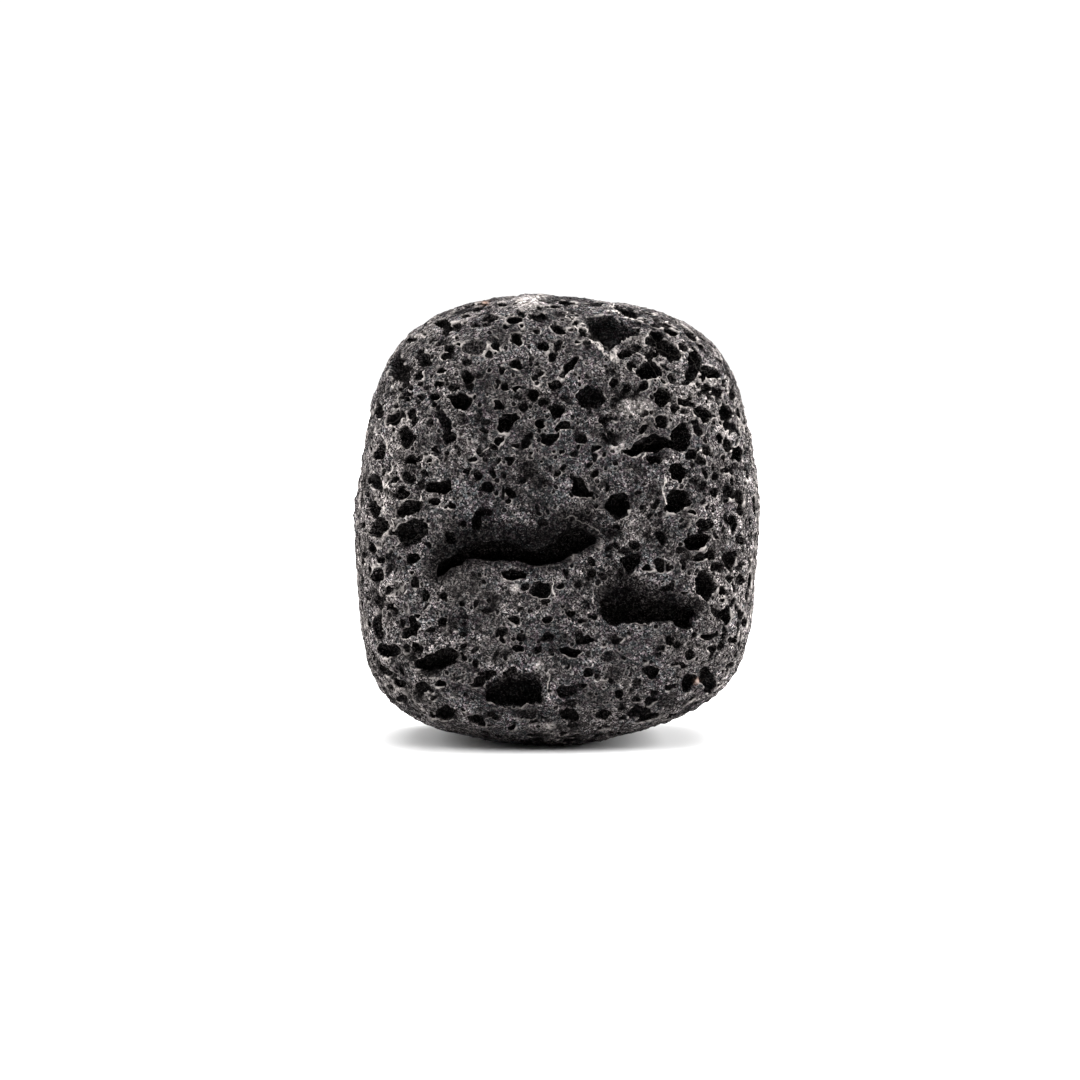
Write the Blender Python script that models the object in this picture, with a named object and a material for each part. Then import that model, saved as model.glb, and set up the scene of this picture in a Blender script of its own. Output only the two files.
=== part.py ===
"""Lava rock: one tumbled pebble of basalt, open all over with the pits its gas bubbles left.

Sizes here are millimetres and turn into metres once, as the meshes are made. +X is to the right
of the face, +Y goes into the stone and +Z is up. The stone stands on the small flat at z = 0.
"""

import math

import bmesh
import bpy
import numpy as np

MM = 0.001

# Body
CENTRE_HEIGHT = 21.8
FRONT_HALF_DEPTH = 18.3
BACK_HALF_DEPTH = 18.2
SIDE_POWER = 3.0  # squareness from side to side: 2 would be an ellipse
BASE_POWER = 4.0  # squareness towards the base
OUTLINE_WAVES = 8  # how closely the outline follows its points
BODY_CUTS = 11  # cuts across each side of the cube that the body's mesh starts from

# The face is described as the eye meets it, on the upright plane through the stone's middle.
EYE = (-1.8, -399.5, 40.6)
BASE_EDGE_DROP = 0.5  # heights below start at the base's front edge, this far under its middle
LEAST_FACING = 0.3  # a pit nearer the edge of sight than this is turned towards the eye
SURE_INSIDE = 0.985  # a place this far out from the centre, or nearer, lies inside the stone
SMALL_TURN = 0.05
SIGHT_HALVINGS = 30
NORMAL_STEP = 0.05

# (right of the middle, height) around the outline, anticlockwise from under the base
OUTLINE = (
    (-1.5, 0.15), (2.5, 0.35), (5.5, 0.95), (8.1, 1.7), (10.8, 2.6), (13.3, 3.7), (15.3, 4.9),
    (17.3, 6.5), (18.1, 8.3), (18.7, 10.4), (19.1, 12.8), (19.7, 16.2), (20.0, 20.2), (19.9, 24.5),
    (19.5, 28.5), (18.9, 31.5), (18.1, 34.6), (17.1, 37.5), (15.6, 39.6), (13.6, 41.3),
    (11.1, 42.5), (7.9, 43.5), (4.4, 44.1), (0.3, 44.5), (-4.2, 44.5), (-7.4, 44.1),
    (-10.6, 43.2), (-13.1, 42.0), (-15.0, 40.4), (-16.6, 38.2), (-18.0, 35.2), (-19.0, 31.2),
    (-19.6, 27.2), (-20.0, 22.2), (-20.1, 18.2), (-19.8, 14.0), (-19.2, 10.6), (-18.3, 8.0),
    (-17.5, 5.6), (-16.0, 3.8), (-13.9, 2.5), (-11.0, 1.6), (-8.0, 1.0), (-4.5, 0.4),
)

# Slow swells of the skin: height, then how often they turn along x, y and z, then where they start
SWELLS = (
    (0.13, 4.0, 1.5, 2.5, 0.3),
    (0.11, -2.0, 4.5, 3.5, 1.9),
    (0.09, 6.5, 2.0, -4.5, 4.1),
    (0.08, 3.0, -6.0, 6.0, 2.6),
    (0.06, -8.0, 5.0, 7.0, 0.9),
)

# Pit depths as a share of the pit's mean half width
DEEP = 1.5
MIDDLING = 1.0
SHALLOW = 0.45

# Rounded pits of the face: right of the middle, height, wide, high, tilt in degrees, depth share
FACE_PITS = (
    (-16.1, 37.4, 2.0, 2.6, 0, MIDDLING), (-13.2, 38.2, 1.2, 1.4, 0, DEEP),
    (-8.2, 39.5, 2.2, 1.7, 0, SHALLOW), (7.0, 43.0, 2.6, 0.9, -25, DEEP),
    (1.3, 37.7, 2.2, 0.8, 50, DEEP), (9.2, 37.2, 2.3, 1.9, 0, DEEP),
    (6.9, 38.9, 2.4, 0.7, 10, DEEP), (10.5, 34.5, 1.7, 1.7, 0, DEEP),
    (11.0, 39.2, 3.0, 1.3, -35, DEEP), (13.8, 38.4, 1.2, 2.2, 15, DEEP),
    (15.3, 37.0, 2.0, 1.3, -20, DEEP), (13.5, 36.8, 1.3, 1.5, 0, DEEP),
    (14.5, 32.9, 1.8, 1.3, -10, DEEP), (16.8, 32.9, 1.3, 1.7, 0, DEEP),
    (17.0, 31.3, 1.1, 1.0, -20, DEEP), (-17.9, 33.1, 1.1, 1.3, 0, MIDDLING),
    (-16.3, 32.3, 1.4, 1.2, 20, DEEP), (-15.2, 30.5, 1.4, 2.2, 0, DEEP),
    (-11.2, 31.1, 1.4, 2.0, 0, DEEP), (-17.9, 29.0, 1.2, 1.3, 0, MIDDLING),
    (-4.3, 16.7, 2.0, 1.1, 0, DEEP),
    (-14.8, 28.1, 1.4, 0.9, -5, DEEP), (-18.3, 26.1, 1.3, 1.4, 15, MIDDLING),
    (-15.8, 24.7, 1.4, 1.2, 15, DEEP), (-18.3, 23.1, 1.1, 1.3, 15, DEEP),
    (-0.2, 33.1, 1.4, 1.1, 0, DEEP), (-0.8, 30.6, 1.8, 0.9, 25, MIDDLING),
    (-7.1, 25.6, 1.3, 1.2, 0, MIDDLING), (-4.6, 24.8, 1.2, 1.2, 0, DEEP),
    (-8.1, 22.2, 2.2, 0.8, 80, DEEP), (9.7, 28.4, 1.6, 1.1, 5, DEEP),
    (17.0, 29.8, 0.7, 1.7, 12, DEEP), (18.0, 29.0, 1.0, 1.5, 15, DEEP),
    (13.4, 28.6, 1.4, 1.2, 0, MIDDLING), (10.6, 32.2, 1.2, 1.3, 0, MIDDLING),
    (-17.9, 21.4, 1.9, 1.8, 0, MIDDLING), (-14.4, 18.5, 1.3, 1.1, 20, DEEP),
    (-10.7, 20.3, 1.1, 1.1, 0, DEEP), (-18.1, 16.6, 1.3, 1.7, 0, MIDDLING),
    (-18.7, 14.7, 1.7, 1.5, 0, SHALLOW), (-16.2, 15.2, 1.8, 1.6, 0, SHALLOW),
    (-14.9, 10.9, 1.3, 1.2, 0, DEEP), (-18.1, 11.4, 1.0, 2.0, 10, MIDDLING),
    (-1.7, 15.2, 2.2, 1.6, 5, MIDDLING), (10.4, 20.1, 0.9, 1.7, 10, DEEP),
    (10.3, 17.5, 1.0, 1.3, 0, MIDDLING), (14.6, 21.8, 1.6, 1.1, 0, MIDDLING),
    (17.3, 18.1, 1.1, 1.8, 0, MIDDLING), (17.5, 21.9, 0.9, 1.2, 0, DEEP),
    (15.9, 12.8, 1.0, 1.0, 0, DEEP), (16.9, 12.7, 1.0, 1.8, 0, DEEP),
    (-17.4, 9.1, 1.9, 1.1, -35, DEEP), (-16.2, 9.2, 1.1, 1.2, 0, MIDDLING),
    (-17.5, 7.3, 1.7, 0.9, -40, MIDDLING), (-7.1, 6.6, 1.6, 1.0, 15, DEEP),
    (-8.0, 5.9, 1.3, 1.1, 0, MIDDLING), (-8.1, 2.0, 2.1, 0.8, -25, DEEP),
    (-3.3, 2.7, 2.2, 1.0, 0, SHALLOW), (5.1, 8.7, 1.7, 1.4, 0, SHALLOW),
    (1.0, 5.1, 1.8, 1.2, 0, MIDDLING), (9.4, 7.0, 1.5, 1.0, 0, MIDDLING),
    (8.2, 2.9, 2.0, 0.9, 0, MIDDLING), (4.6, 2.5, 1.4, 0.9, 0, DEEP),
    (1.3, 2.5, 1.8, 1.3, -15, MIDDLING),
)

# The larger openings of the face, each as its depth and its edge, anticlockwise
FACE_OPENINGS = (
    (1.6, (  # the hollow at the top right
        (3.2, 42.2), (3.3, 41.2), (3.9, 40.3), (4.5, 39.5), (5.0, 39.5), (5.4, 39.9), (6.5, 40.5),
        (7.5, 40.7), (8.2, 41.1), (7.3, 41.7), (6.1, 42.0), (5.5, 42.8), (4.4, 43.0), (3.6, 42.7),
    )),
    (1.4, (
        (1.5, 34.9), (1.8, 33.8), (2.8, 33.3), (4.0, 33.6), (4.6, 34.3), (4.4, 35.2), (3.4, 35.7),
        (2.2, 35.5),
    )),
    (1.8, (
        (-11.2, 34.2), (-10.6, 33.2), (-9.6, 33.1), (-8.7, 34.0), (-8.7, 34.6), (-9.8, 34.9),
    )),
    (1.7, (
        (-5.9, 31.7), (-5.8, 31.1), (-5.0, 31.0), (-4.5, 31.3), (-3.9, 32.0), (-3.5, 32.6),
        (-3.9, 33.1), (-4.9, 33.0), (-5.6, 32.4),
    )),
    (1.7, (
        (-13.4, 25.3), (-13.0, 24.7), (-12.1, 24.6), (-10.9, 24.7), (-10.5, 25.4), (-10.6, 25.9),
        (-11.4, 26.3), (-12.1, 26.2), (-13.0, 25.8),
    )),
    (1.7, (
        (-16.4, 22.9), (-16.1, 22.4), (-15.4, 22.3), (-14.5, 22.7), (-13.7, 23.0), (-13.6, 23.8),
        (-14.3, 24.2), (-15.1, 24.1), (-15.9, 23.6),
    )),
    (1.5, (
        (1.0, 24.7), (1.9, 24.4), (3.2, 24.6), (3.6, 25.1), (2.7, 25.5), (2.5, 26.2), (1.5, 26.7),
        (1.2, 25.8),
    )),
    (2.4, (
        (4.8, 23.5), (5.3, 23.0), (6.2, 22.5), (7.0, 22.8), (7.2, 23.7), (6.9, 24.8), (5.5, 24.8),
        (5.0, 24.3),
    )),
    (2.4, (  # the rising slit at the upper right and the pit it runs into
        (6.3, 29.3), (7.2, 28.5), (7.8, 28.4), (8.3, 29.0), (9.2, 29.3), (11.4, 29.4), (11.0, 30.6),
        (9.7, 30.8), (8.2, 30.0), (6.8, 29.5),
    )),
    (2.2, (
        (11.3, 30.5), (11.3, 29.6), (11.9, 29.3), (12.7, 29.2), (13.2, 29.9), (13.3, 31.0),
        (12.9, 31.8), (12.2, 32.1), (11.6, 31.4),
    )),
    (1.7, (
        (11.1, 27.2), (11.6, 26.3), (12.5, 26.2), (13.0, 26.8), (12.8, 27.3), (12.5, 27.9),
        (11.5, 27.9),
    )),
    (2.2, (
        (10.9, 24.2), (10.9, 23.1), (11.9, 23.1), (13.0, 23.5), (13.4, 23.9), (13.4, 25.1),
        (12.7, 25.6), (12.1, 25.3), (11.2, 25.1),
    )),
    (1.8, (
        (-16.4, 20.8), (-15.9, 20.2), (-15.3, 19.6), (-14.4, 19.9), (-13.5, 20.4), (-13.0, 20.9),
        (-13.1, 21.7), (-13.8, 22.2), (-14.8, 22.1), (-15.6, 21.8), (-16.3, 21.3),
    )),
    (3.6, (  # the long slit across the middle
        (-12.3, 16.2), (-11.6, 16.3), (-10.8, 16.6), (-9.8, 17.1), (-8.8, 17.6), (-7.3, 17.9),
        (-5.6, 18.0), (-4.3, 17.7), (-2.5, 17.6), (-0.9, 17.3), (0.3, 18.0), (1.0, 18.2),
        (2.2, 19.0), (3.6, 19.7), (3.7, 20.5), (3.2, 21.1),
        (2.0, 21.5), (0.7, 21.4), (-0.2, 20.6), (-1.0, 19.9), (-2.3, 19.7), (-3.8, 20.0),
        (-5.8, 20.1), (-7.8, 19.9), (-9.3, 19.5), (-10.3, 18.9), (-11.3, 18.1), (-12.1, 17.2),
    )),
    (3.0, (  # the slit at the lower right
        (4.3, 13.2), (4.6, 12.4), (5.4, 11.8), (6.7, 11.8), (8.2, 12.0), (9.7, 12.0), (11.4, 12.0),
        (12.4, 11.3), (13.2, 11.2), (13.8, 12.3), (14.2, 13.0), (13.2, 13.4), (11.2, 14.0),
        (9.7, 14.5), (8.2, 15.2), (7.0, 15.8), (6.0, 15.6), (5.4, 14.8), (4.3, 13.9),
    )),
    (1.8, (
        (6.4, 18.0), (6.7, 17.5), (7.3, 17.1), (7.9, 17.0), (8.3, 17.6), (8.2, 18.5), (7.6, 18.8),
        (6.8, 18.6),
    )),
    (2.1, (
        (12.7, 19.9), (12.8, 19.3), (13.2, 19.0), (14.1, 19.1), (14.8, 19.5), (15.3, 20.1),
        (15.0, 20.8), (14.2, 21.0), (13.2, 20.7),
    )),
    (2.0, (
        (14.0, 15.8), (14.2, 14.7), (14.5, 13.9), (15.1, 13.8), (15.6, 14.5), (16.0, 15.4),
        (15.7, 16.5), (15.0, 17.2), (14.3, 16.8),
    )),
    (2.4, (
        (-14.5, 8.1), (-14.4, 7.5), (-13.3, 7.1), (-11.6, 7.3), (-10.6, 7.6), (-10.1, 8.3),
        (-10.3, 9.0), (-11.8, 9.1), (-12.8, 9.0), (-13.8, 8.4),
    )),
    (1.4, (
        (-12.1, 2.8), (-12.0, 2.1), (-11.2, 1.9), (-10.6, 2.3), (-10.5, 3.1), (-11.1, 3.5),
        (-11.7, 3.4),
    )),
    (2.6, (  # the wide pit near the foot
        (-7.2, 4.3), (-7.1, 3.9), (-6.3, 3.7), (-4.8, 3.6), (-3.8, 3.4), (-2.8, 3.7), (-1.7, 3.4),
        (-1.5, 3.9), (-1.8, 5.4), (-2.1, 6.0), (-3.3, 6.2), (-4.8, 6.1), (-5.8, 5.7), (-6.8, 5.2),
    )),
    (1.4, (
        (0.3, 9.2), (0.7, 8.5), (1.5, 8.2), (2.3, 8.5), (2.6, 9.1), (1.4, 9.3),
    )),
    (1.6, (
        (14.2, 6.2), (14.5, 5.4), (14.8, 4.8), (15.3, 4.9), (15.8, 5.6), (16.0, 6.5), (15.4, 6.9),
        (14.4, 6.9),
    )),
    (1.4, (
        (12.4, 5.9), (12.6, 4.7), (13.3, 4.8), (13.7, 5.6), (13.9, 6.2), (13.6, 6.9), (12.7, 6.6),
    )),
)

# Pits of the other sides, strewn from the widest down
STREWN_SEED = 7
STREWN_COUNT = 146
WIDEST_STREWN = 5.2
STREWN_FALL = 0.29  # how fast they narrow from one to the next
MOST_LONG = 2.0  # a strewn pit is at most this many times as long as it is wide
LEAST_DEEP = 0.7
FACE_EDGE = 0.3  # they keep off skin that turns to the eye by more than this
BASE_CLEAR = 3.0  # and off the middle of the flat the stone stands on, by this much
PLACES_TRIED = 5  # each pit takes the emptiest of this many places
PIT_GAP = 0.5

# Pit walls. A wide pit is a bowl and a narrow one a plain point.
BOWL_FROM = 1.9  # mean width
BOWL_RIM_POINTS = 8
POINT_RIM_POINTS = 6
RIM_ROUGHNESS = 0.09
RIM_REACH = 3.0  # the part of a long rim that counts as near
BOWL_LEVELS = ((-0.6, 0.72), (-1.0, 0.1))  # (height as a share of the depth, width there)
LEAST_POINT_DEPTH = 1.6  # share of the mean half width
ABOVE_SKIN = 0.35

STONE_COLOUR = (0.050, 0.046, 0.044, 1.0)
STONE_ROUGHNESS = 0.92


def outline_terms(angle):
    """The waves that make up the outline's radius at an angle about the centre."""
    turns = np.arange(1, OUTLINE_WAVES + 1)
    phase = angle[..., None] * turns
    return np.concatenate([np.ones_like(angle)[..., None], np.cos(phase), np.sin(phase)], axis=-1)


def fitted_outline():
    """How much of each wave the outline holds, fitted to its points."""
    across, height = np.array(OUTLINE).T
    height = height - BASE_EDGE_DROP - CENTRE_HEIGHT
    terms = outline_terms(np.arctan2(height, across))
    return np.linalg.lstsq(terms, np.hypot(across, height), rcond=None)[0]


OUTLINE_SHARES = fitted_outline()
CENTRE = np.array((0.0, 0.0, CENTRE_HEIGHT))


def gauge(points):
    """1 on the skin, less inside and more outside, in proportion to the distance from the centre."""
    offset = np.asarray(points, float) - CENTRE
    across, deep, height = offset[..., 0], offset[..., 1], offset[..., 2]
    angle = np.arctan2(height, across)
    ring = np.hypot(across, height) / (outline_terms(angle) @ OUTLINE_SHARES)
    half_depth = np.where(deep < 0, FRONT_HALF_DEPTH, BACK_HALF_DEPTH)
    power = SIDE_POWER + (BASE_POWER - SIDE_POWER) * np.clip(-np.sin(angle), 0, 1) ** 2
    plain = (ring**power + (np.abs(deep) / half_depth) ** power) ** (1 / power)
    unit = offset / np.maximum(np.linalg.norm(offset, axis=-1, keepdims=True), 1e-9)
    swell = sum(
        rise * np.sin(unit[..., 0] * a + unit[..., 1] * b + unit[..., 2] * c + start)
        for rise, a, b, c, start in SWELLS
    )
    return plain / (1 + swell * np.abs(unit[..., 1]) / CENTRE_HEIGHT)


def normal_at(point):
    """The way straight out of the skin."""
    step = NORMAL_STEP * np.eye(3)
    slope = gauge(point + step) - gauge(point - step)
    return slope / np.linalg.norm(slope)


def seen_point(across, height):
    """The point of the skin that the eye meets at this place on the middle plane."""
    eye = np.array(EYE)
    place = np.array((across, 0.0, height - BASE_EDGE_DROP))
    place = CENTRE + (place - CENTRE) * min(1, SURE_INSIDE / gauge(place))
    near, far = 0.0, 1.0
    for _ in range(SIGHT_HALVINGS):
        middle = (near + far) / 2
        if gauge(eye + (place - eye) * middle) > 1:
            near = middle
        else:
            far = middle
    return eye + (place - eye) * far


def face_frame(across, height):
    """Where a face pit sits, its axis, and what one millimetre right and up of the view is there."""
    point = seen_point(across, height)
    eye = np.array(EYE)
    sight = (point - eye) / np.linalg.norm(point - eye)
    axis = normal_at(point)
    while -axis @ sight < LEAST_FACING:
        axis = axis - SMALL_TURN * sight
        axis = axis / np.linalg.norm(axis)
    near = np.linalg.norm(point - eye) / np.linalg.norm(np.array((across, 0.0, height)) - eye)
    right = np.cross(sight, (0.0, 0.0, 1.0))
    right = right / np.linalg.norm(right)
    up = np.cross(right, sight)
    right = (right - sight * (right @ axis) / (sight @ axis)) * near
    up = (up - sight * (up @ axis) / (sight @ axis)) * near
    return point, axis, right, up


def ellipse(wide, high, tilt, chance):
    """A rough rim as points on the pit's plane, anticlockwise."""
    count = BOWL_RIM_POINTS if math.sqrt(wide * high) > BOWL_FROM else POINT_RIM_POINTS
    turn = np.arange(count) * 2 * math.pi / count
    size = 1 + RIM_ROUGHNESS * chance.standard_normal(count)
    along = wide / 2 * np.cos(turn) * size
    beside = high / 2 * np.sin(turn) * size
    lean = math.radians(tilt)
    return np.stack(
        [
            along * math.cos(lean) - beside * math.sin(lean),
            along * math.sin(lean) + beside * math.cos(lean),
        ],
        axis=1,
    )


def local_middles(rim):
    """For each point of the rim, the middle of the rim near it, so that a long slit stays a slit."""
    apart = np.linalg.norm(rim[:, None] - rim[None], axis=2)
    pull = np.exp(-((apart / RIM_REACH) ** 2))
    return pull @ rim / pull.sum(axis=1, keepdims=True)


def point_cutter(frame, rim, depth):
    """A closed cone on a rim: its points and its faces, which face out."""
    point, axis, right, up = frame
    flat = rim * (1 + ABOVE_SKIN / depth)
    ring = point + ABOVE_SKIN * axis + flat[:, :1] * right + flat[:, 1:] * up
    count = len(rim)
    faces = [tuple(range(count))]
    faces.extend((k, count, (k + 1) % count) for k in range(count))
    return np.concatenate([ring, [point - depth * axis]]), faces


def bowl_cutter(frame, rim, depth):
    """A closed bowl on a rim: its points and its faces, which face out."""
    point, axis, right, up = frame
    middles = local_middles(rim)
    rings = []
    for level, width in ((ABOVE_SKIN / depth, 1.0), *BOWL_LEVELS):
        flat = middles + (rim - middles) * width
        rings.append(point + level * depth * axis + flat[:, :1] * right + flat[:, 1:] * up)
    count = len(rim)
    faces = [tuple(range(count))]
    for start in range(0, count * len(BOWL_LEVELS), count):
        for k in range(count):
            after = (k + 1) % count
            faces.append((start + k, start + count + k, start + after))
            faces.append((start + after, start + count + k, start + count + after))
    last = count * len(BOWL_LEVELS)
    faces.append(tuple(range(last + count - 1, last - 1, -1)))
    return np.concatenate(rings), faces


def cutter(frame, rim, share, width):
    """A bowl or a point, by how wide the pit is, with its depth as a share of its half width."""
    if width > BOWL_FROM:
        return bowl_cutter(frame, rim, share * width / 2)
    return point_cutter(frame, rim, max(share, LEAST_POINT_DEPTH) * width / 2)


def face_cutters(chance):
    """The pits and openings of the face, each at its place."""
    for across, height, wide, high, tilt, share in FACE_PITS:
        rim = ellipse(wide, high, tilt, chance)
        yield cutter(face_frame(across, height), rim, share, math.sqrt(wide * high))
    for depth, edge in FACE_OPENINGS:
        rim = np.array(edge)
        middle = (rim.min(axis=0) + rim.max(axis=0)) / 2
        yield bowl_cutter(face_frame(*middle), rim - middle, depth)


def may_hold_pit(point, axis, width):
    """Whether this place is off the face and off the middle of the flat."""
    sight = (point - np.array(EYE)) / np.linalg.norm(point - np.array(EYE))
    from_middle = math.hypot(point[0], point[1])
    on_flat = point[2] < width / 2 and from_middle < BASE_CLEAR + width / 2
    return -axis @ sight < FACE_EDGE - width / CENTRE_HEIGHT and not on_flat


def strewn_places(chance):
    """(point, axis, width) of the pits of the other sides, none of them touching."""
    placed = []
    while len(placed) < STREWN_COUNT:
        width = WIDEST_STREWN * (len(placed) + 1) ** -STREWN_FALL
        best_room = PIT_GAP
        best = None
        for _ in range(PLACES_TRIED):
            way = chance.standard_normal(3)
            point = CENTRE + way / gauge(CENTRE + way)
            axis = normal_at(point)
            room = min(
                (np.linalg.norm(point - other) - (width + wide) / 2 for other, _, wide in placed),
                default=WIDEST_STREWN,
            )
            if room > best_room and may_hold_pit(point, axis, width):
                best_room = room
                best = (point, axis, width)
        if best:
            placed.append(best)
    return placed


def strewn_cutters(chance):
    """The pits of the other sides, each turned some way of its own."""
    for point, axis, width in strewn_places(chance):
        right = np.cross(axis, chance.standard_normal(3))
        right = right / np.linalg.norm(right)
        up = np.cross(axis, right)
        long = chance.uniform(1, MOST_LONG) ** 0.5
        share = chance.uniform(LEAST_DEEP, DEEP)
        rim = ellipse(width * long, width / long, 0, chance)
        yield cutter((point, axis, right, up), rim, share, width)


def new_object(name, points, faces):
    mesh = bpy.data.meshes.new(name)
    mesh.from_pydata((np.asarray(points) * MM).tolist(), [], faces)
    mesh.validate()
    made = bpy.data.objects.new(name, mesh)
    bpy.context.scene.collection.objects.link(made)
    return made


def body():
    """The stone before its pits: a finely cut cube drawn out to the skin, and flat where it rests."""
    shape = bmesh.new()
    bmesh.ops.create_cube(shape, size=2)
    bmesh.ops.subdivide_edges(shape, edges=shape.edges, cuts=BODY_CUTS, use_grid_fill=True)
    bmesh.ops.triangulate(shape, faces=shape.faces)
    bmesh.ops.recalc_face_normals(shape, faces=shape.faces)
    shape.verts.ensure_lookup_table()
    cube = np.array([vert.co[:] for vert in shape.verts])
    faces = [[vert.index for vert in face.verts] for face in shape.faces]
    shape.free()
    way = np.tan(cube * math.pi / 4)
    points = CENTRE + way / gauge(CENTRE + way)[:, None]
    points[:, 2] = np.maximum(points[:, 2], 0)
    return new_object("lava_rock", points, faces)


def pit_cutters():
    """All the pits as one helper."""
    chance = np.random.default_rng(STREWN_SEED)
    points = []
    faces = []
    for made, sides in [*strewn_cutters(chance), *face_cutters(chance)]:
        start = len(points)
        points.extend(made.tolist())
        faces.extend([tuple(corner + start for corner in side) for side in sides])
    helper = new_object("pit_cutters", points, faces)
    helper.hide_render = True
    helper.display_type = "WIRE"
    return helper


def stone_material():
    stone = bpy.data.materials.new("lava_stone")
    stone.use_nodes = True
    surface = stone.node_tree.nodes["Principled BSDF"]
    surface.inputs["Base Color"].default_value = STONE_COLOUR
    surface.inputs["Roughness"].default_value = STONE_ROUGHNESS
    surface.inputs["Metallic"].default_value = 0.0
    return stone


for old in list(bpy.data.objects):
    bpy.data.objects.remove(old)
rock = body()
rock.data.materials.append(stone_material())
pits = rock.modifiers.new("pits", "BOOLEAN")
pits.operation = "DIFFERENCE"
pits.solver = "EXACT"
pits.use_self = True
pits.object = pit_cutters()
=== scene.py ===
"""The looks of the lava rock: its carved surface, its stone, and a white studio round it.

The stone starts as a block of numbers, below zero inside it and above zero outside. The skin is
the tumbled form, and each gas bubble takes its own hollow out of it. Lengths are millimetres until
the mesh is made.
"""

import math

import bpy
import numpy as np
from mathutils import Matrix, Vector


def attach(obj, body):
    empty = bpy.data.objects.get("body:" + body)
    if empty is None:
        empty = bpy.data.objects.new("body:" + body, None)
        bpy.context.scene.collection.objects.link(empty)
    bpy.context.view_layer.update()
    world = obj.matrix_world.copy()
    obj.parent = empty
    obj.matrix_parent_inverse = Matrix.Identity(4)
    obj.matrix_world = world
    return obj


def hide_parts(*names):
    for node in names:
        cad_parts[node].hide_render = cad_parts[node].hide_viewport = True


MM = 0.001
PIECE = "lava_rock_stone"
FAR = 9.0  # further from a pit or a mark than any that counts

# Camera, level with the stone's lower half: (right, in, up) of what it looks at
CAMERA_TARGET = (-1.75, 0.0, 19.7)
CAMERA_DISTANCE = 400.0
CAMERA_ELEVATION = 3.0
CAMERA_FIELD = 108.0  # the width that it sees at the target
SENSOR = 36.0
CAMERA_RANGE = (0.01, 20.0)  # metres

# Body, as in the solids
CENTRE_HEIGHT = 21.8
FRONT_HALF_DEPTH = 18.3
BACK_HALF_DEPTH = 18.2
SIDE_POWER = 3.0
BASE_POWER = 4.0
OUTLINE_WAVES = 8
EYE = (-1.8, -399.5, 40.6)  # where the face is seen from
BASE_EDGE_DROP = 0.5  # the face's heights start this far under the base's middle
LEAST_FACING = 0.3  # a pit nearer the edge of sight than this is turned towards the eye
SURE_INSIDE = 0.985  # a place this far out from the centre, or nearer, lies inside the stone
SMALL_TURN = 0.05
SIGHT_STARTS = 0.9  # share of the way to the middle plane that is clear of the stone
SIGHT_HALVINGS = 20
NORMAL_STEP = 0.05

# (right of the middle, height) around the outline, anticlockwise from under the base
OUTLINE = (
    (-1.5, 0.15), (2.5, 0.35), (5.5, 0.95), (8.1, 1.7), (10.8, 2.6), (13.3, 3.7), (15.3, 4.9),
    (17.3, 6.5), (18.1, 8.3), (18.7, 10.4), (19.1, 12.8), (19.7, 16.2), (20.0, 20.2), (19.9, 24.5),
    (19.5, 28.5), (18.9, 31.5), (18.1, 34.6), (17.1, 37.5), (15.6, 39.6), (13.6, 41.3),
    (11.1, 42.5), (7.9, 43.5), (4.4, 44.1), (0.3, 44.5), (-4.2, 44.5), (-7.4, 44.1),
    (-10.6, 43.2), (-13.1, 42.0), (-15.0, 40.4), (-16.6, 38.2), (-18.0, 35.2), (-19.0, 31.2),
    (-19.6, 27.2), (-20.0, 22.2), (-20.1, 18.2), (-19.8, 14.0), (-19.2, 10.6), (-18.3, 8.0),
    (-17.5, 5.6), (-16.0, 3.8), (-13.9, 2.5), (-11.0, 1.6), (-8.0, 1.0), (-4.5, 0.4),
)

# Slow swells of the skin: height, then how often they turn along x, y and z, then where they start
SWELLS = (
    (0.13, 4.0, 1.5, 2.5, 0.3),
    (0.11, -2.0, 4.5, 3.5, 1.9),
    (0.09, 6.5, 2.0, -4.5, 4.1),
    (0.08, 3.0, -6.0, 6.0, 2.6),
    (0.06, -8.0, 5.0, 7.0, 0.9),
)

# Pit depths as a share of the pit's mean half width
DEEP = 1.9
MIDDLING = 1.4
SHALLOW = 0.5
FUNNEL = 0.38

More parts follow.
